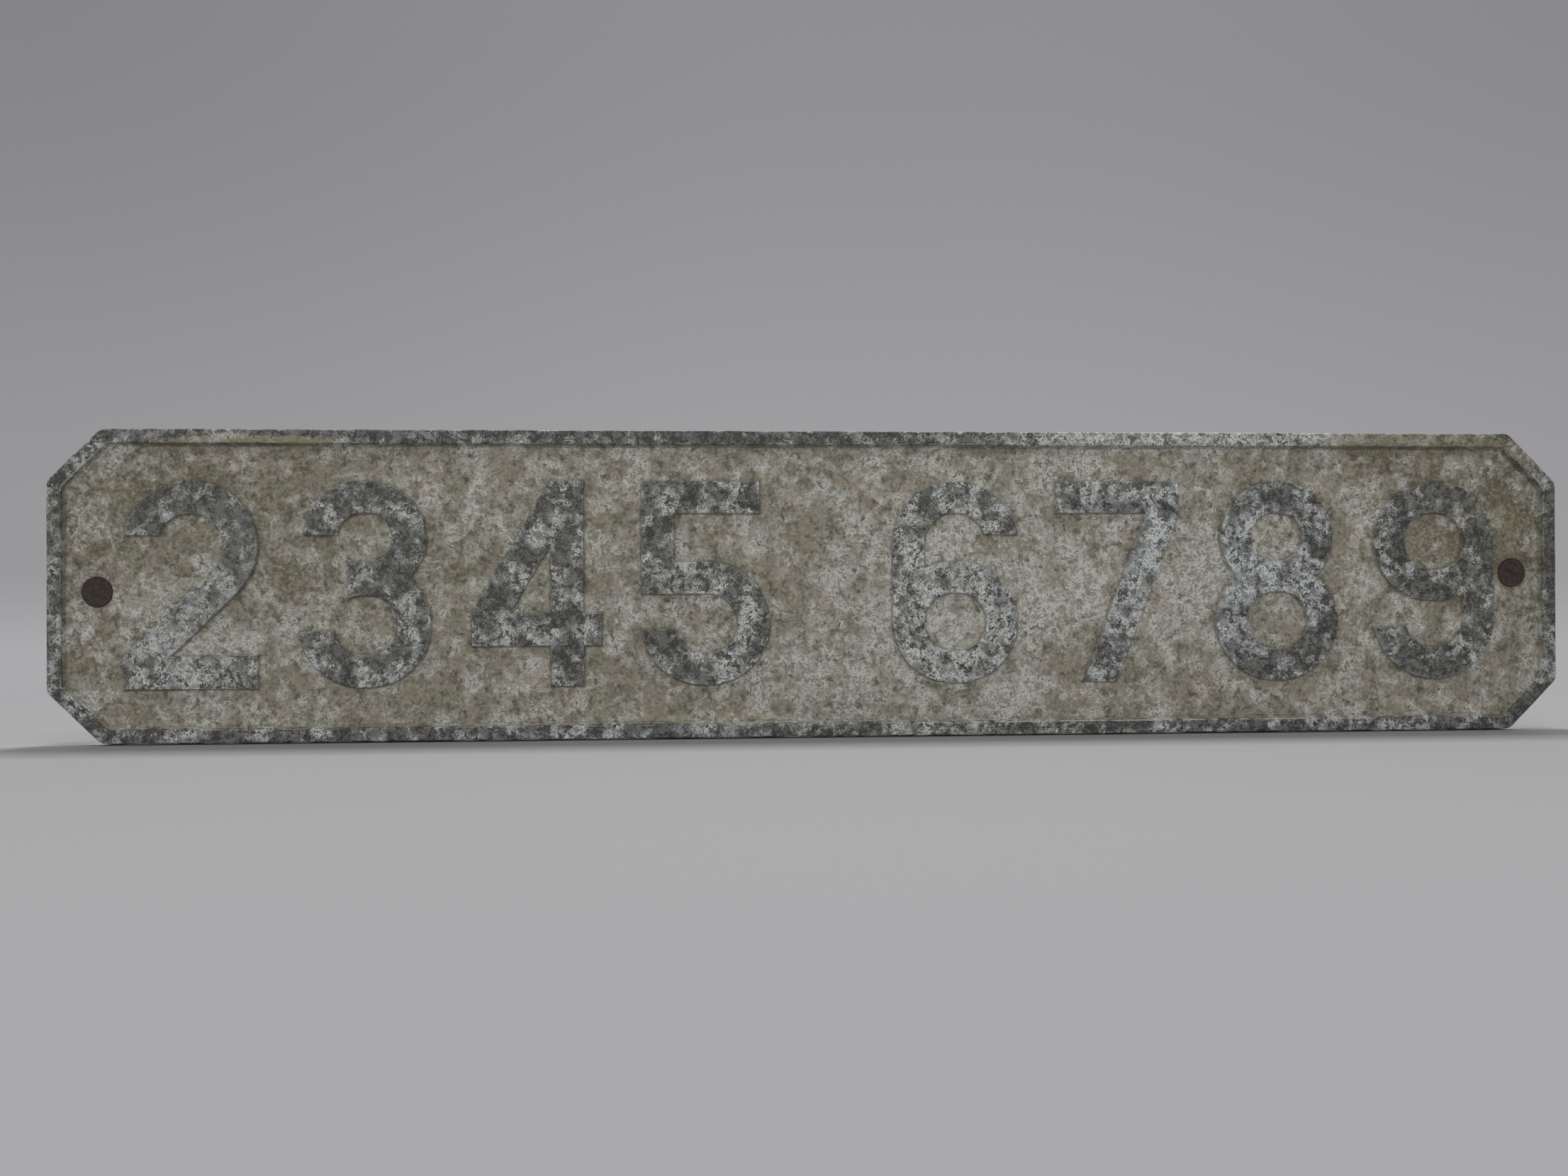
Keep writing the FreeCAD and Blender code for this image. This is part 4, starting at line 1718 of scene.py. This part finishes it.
@dataclass
class Studio:
    """Floor, background, lights and camera."""

    floor_height: float = -77.4
    floor_reach: float = 6000.0
    focal_pixels: float = 2000.0
    sensor_width: float = 36.0
    camera_place: tuple[float, float, float] = (-72.1, -716.6, -5.2)
    yaw: float = -0.0697
    pitch: float = 0.0044
    roll: float = 0.0043
    ambient: float = 0.4
    backdrop_middle: float = 0.14
    backdrop_floor: Colour = tone(170, 170, 173)
    backdrop_low: Colour = tone(161, 161, 164)
    # Background darker high up and towards the sides: painted shade.
    backdrop_high_shade: Colour = tone(143, 143, 145)
    backdrop_side_shade: Colour = tone(118, 119, 121)
    lamp_set: tuple[Lamp, ...] = (
        Lamp("overhead", (0.0, 0.38, 1.7), (0.45, 0.4), 26.0),
        Lamp("high_front", (0.0, -0.7, 1.6), (1.1, 0.4), 4.0),
        Lamp("front_fill", (-0.3, -2.4, 0.42), (2.4, 0.9), 30.5),
        Lamp("rear_fill", (0.5, 2.2, 1.0), (2.4, 1.2), 10.0),
    )
    finish: Finish = field(default_factory=PaleFloor)

    def build(self) -> None:
        """Set the whole stage."""
        self.floor()
        self.world()
        self.lamps()
        self.camera()
        bpy.context.scene.view_settings.view_transform = "Standard"

    def floor(self) -> None:
        """Large flat floor that the plate stands on."""
        reach, level = self.floor_reach * MM, self.floor_height * MM
        corners = [(x * reach, y * reach, level) for x, y in ((-1, -1), (1, -1), (1, 1), (-1, 1))]
        mesh = bpy.data.meshes.new("studio_floor")
        mesh.from_pydata(corners, [], [(0, 1, 2, 3)])
        mesh.materials.append(self.finish.material())
        made = placed_object("studio_floor", mesh)

    def world(self) -> None:
        """Even light from all round, and the grey background that cameras and reflections see, with painted
        shade that darkens it upwards and towards the sides.
        """
        world = bpy.data.worlds.new("studio_world")
        bpy.context.scene.world = world
        world.use_nodes = True
        sheet = NodeSheet(world.node_tree, "ShaderNodeTexCoord", "Generated", 1.0)
        upward = sheet.part(sheet.place, "Z")
        sideways = abs(sheet.part(sheet.place, "X") - self.backdrop_middle)
        horizon = upward.rise(-0.04, 0.02)
        # Painted shade: the background darkens towards the sides, more so higher up.
        side_shade = sideways.rise(0.05, 0.65) * (horizon * 0.25 + upward.rise(0.05, 0.4) * 0.3)
        shown = sheet.coats(
            self.backdrop_floor,
            (horizon, self.backdrop_low),
            (upward.rise(0.0, 0.4), self.backdrop_high_shade),
            (side_shade, self.backdrop_side_shade),
        )
        rays = ("Is Camera Ray", "Is Glossy Ray", "Is Transmission Ray")
        camera, glossy, through = (sheet.node("ShaderNodeLightPath", output=ray) for ray in rays)
        white = (1.0, 1.0, 1.0, 1.0)
        light = sheet.node("ShaderNodeBackground", inputs={"Color": white, "Strength": self.ambient})
        shown = sheet.node("ShaderNodeBackground", inputs={"Color": shown, "Strength": 1.0})
        inputs = {0: camera.most(glossy).most(through), 1: light, 2: shown}
        mixed = sheet.node("ShaderNodeMixShader", inputs=inputs)
        sheet.node("ShaderNodeOutputWorld", inputs={"Surface": mixed})

    def lamps(self) -> None:
        """Two narrow lamps above, before and behind the plate, and broad soft ones for its face and back."""
        for lamp in self.lamp_set:
            light = bpy.data.lights.new(lamp.name, "AREA")
            light.shape = "RECTANGLE"
            light.size, light.size_y = lamp.size
            light.energy = lamp.power
            made = placed_object(lamp.name, light)
            made.location = lamp.place
            made.rotation_euler = (-made.location).to_track_quat("-Z", "Y").to_euler()

    def camera(self) -> None:
        """Camera at the photograph's place and angle."""
        data = bpy.data.cameras.new("photo_camera")
        data.sensor_width = self.sensor_width
        data.lens = self.focal_pixels / PHOTO_WIDTH * self.sensor_width
        data.clip_start, data.clip_end = 0.01, 50.0
        turns = ((self.yaw, "Z"), (self.pitch, "X"), (self.roll, "Y"), (math.pi / 2, "X"))
        yaw, pitch, roll, upright = (Matrix.Rotation(angle, 3, axis) for angle, axis in turns)
        camera = placed_object("photo_camera", data)
        turn = (yaw @ pitch @ roll @ upright).to_4x4()
        camera.matrix_world = Matrix.Translation(Vector(self.camera_place) * MM) @ turn
        bpy.context.scene.camera = camera


def main() -> None:
    """Build the object and its stage, and report each piece."""
    logging.basicConfig(level=logging.INFO, format="%(message)s")
    Studio().build()
    screws = FixingScrews()
    for piece in (NamePlate(screws.places).build(), screws.build()):
        mesh = piece.data
        mesh.calc_loop_triangles()
        log.info("%s: %d corners, %d triangles", piece.name, len(mesh.vertices), len(mesh.loop_triangles))


if __name__ == "__main__":
    main()
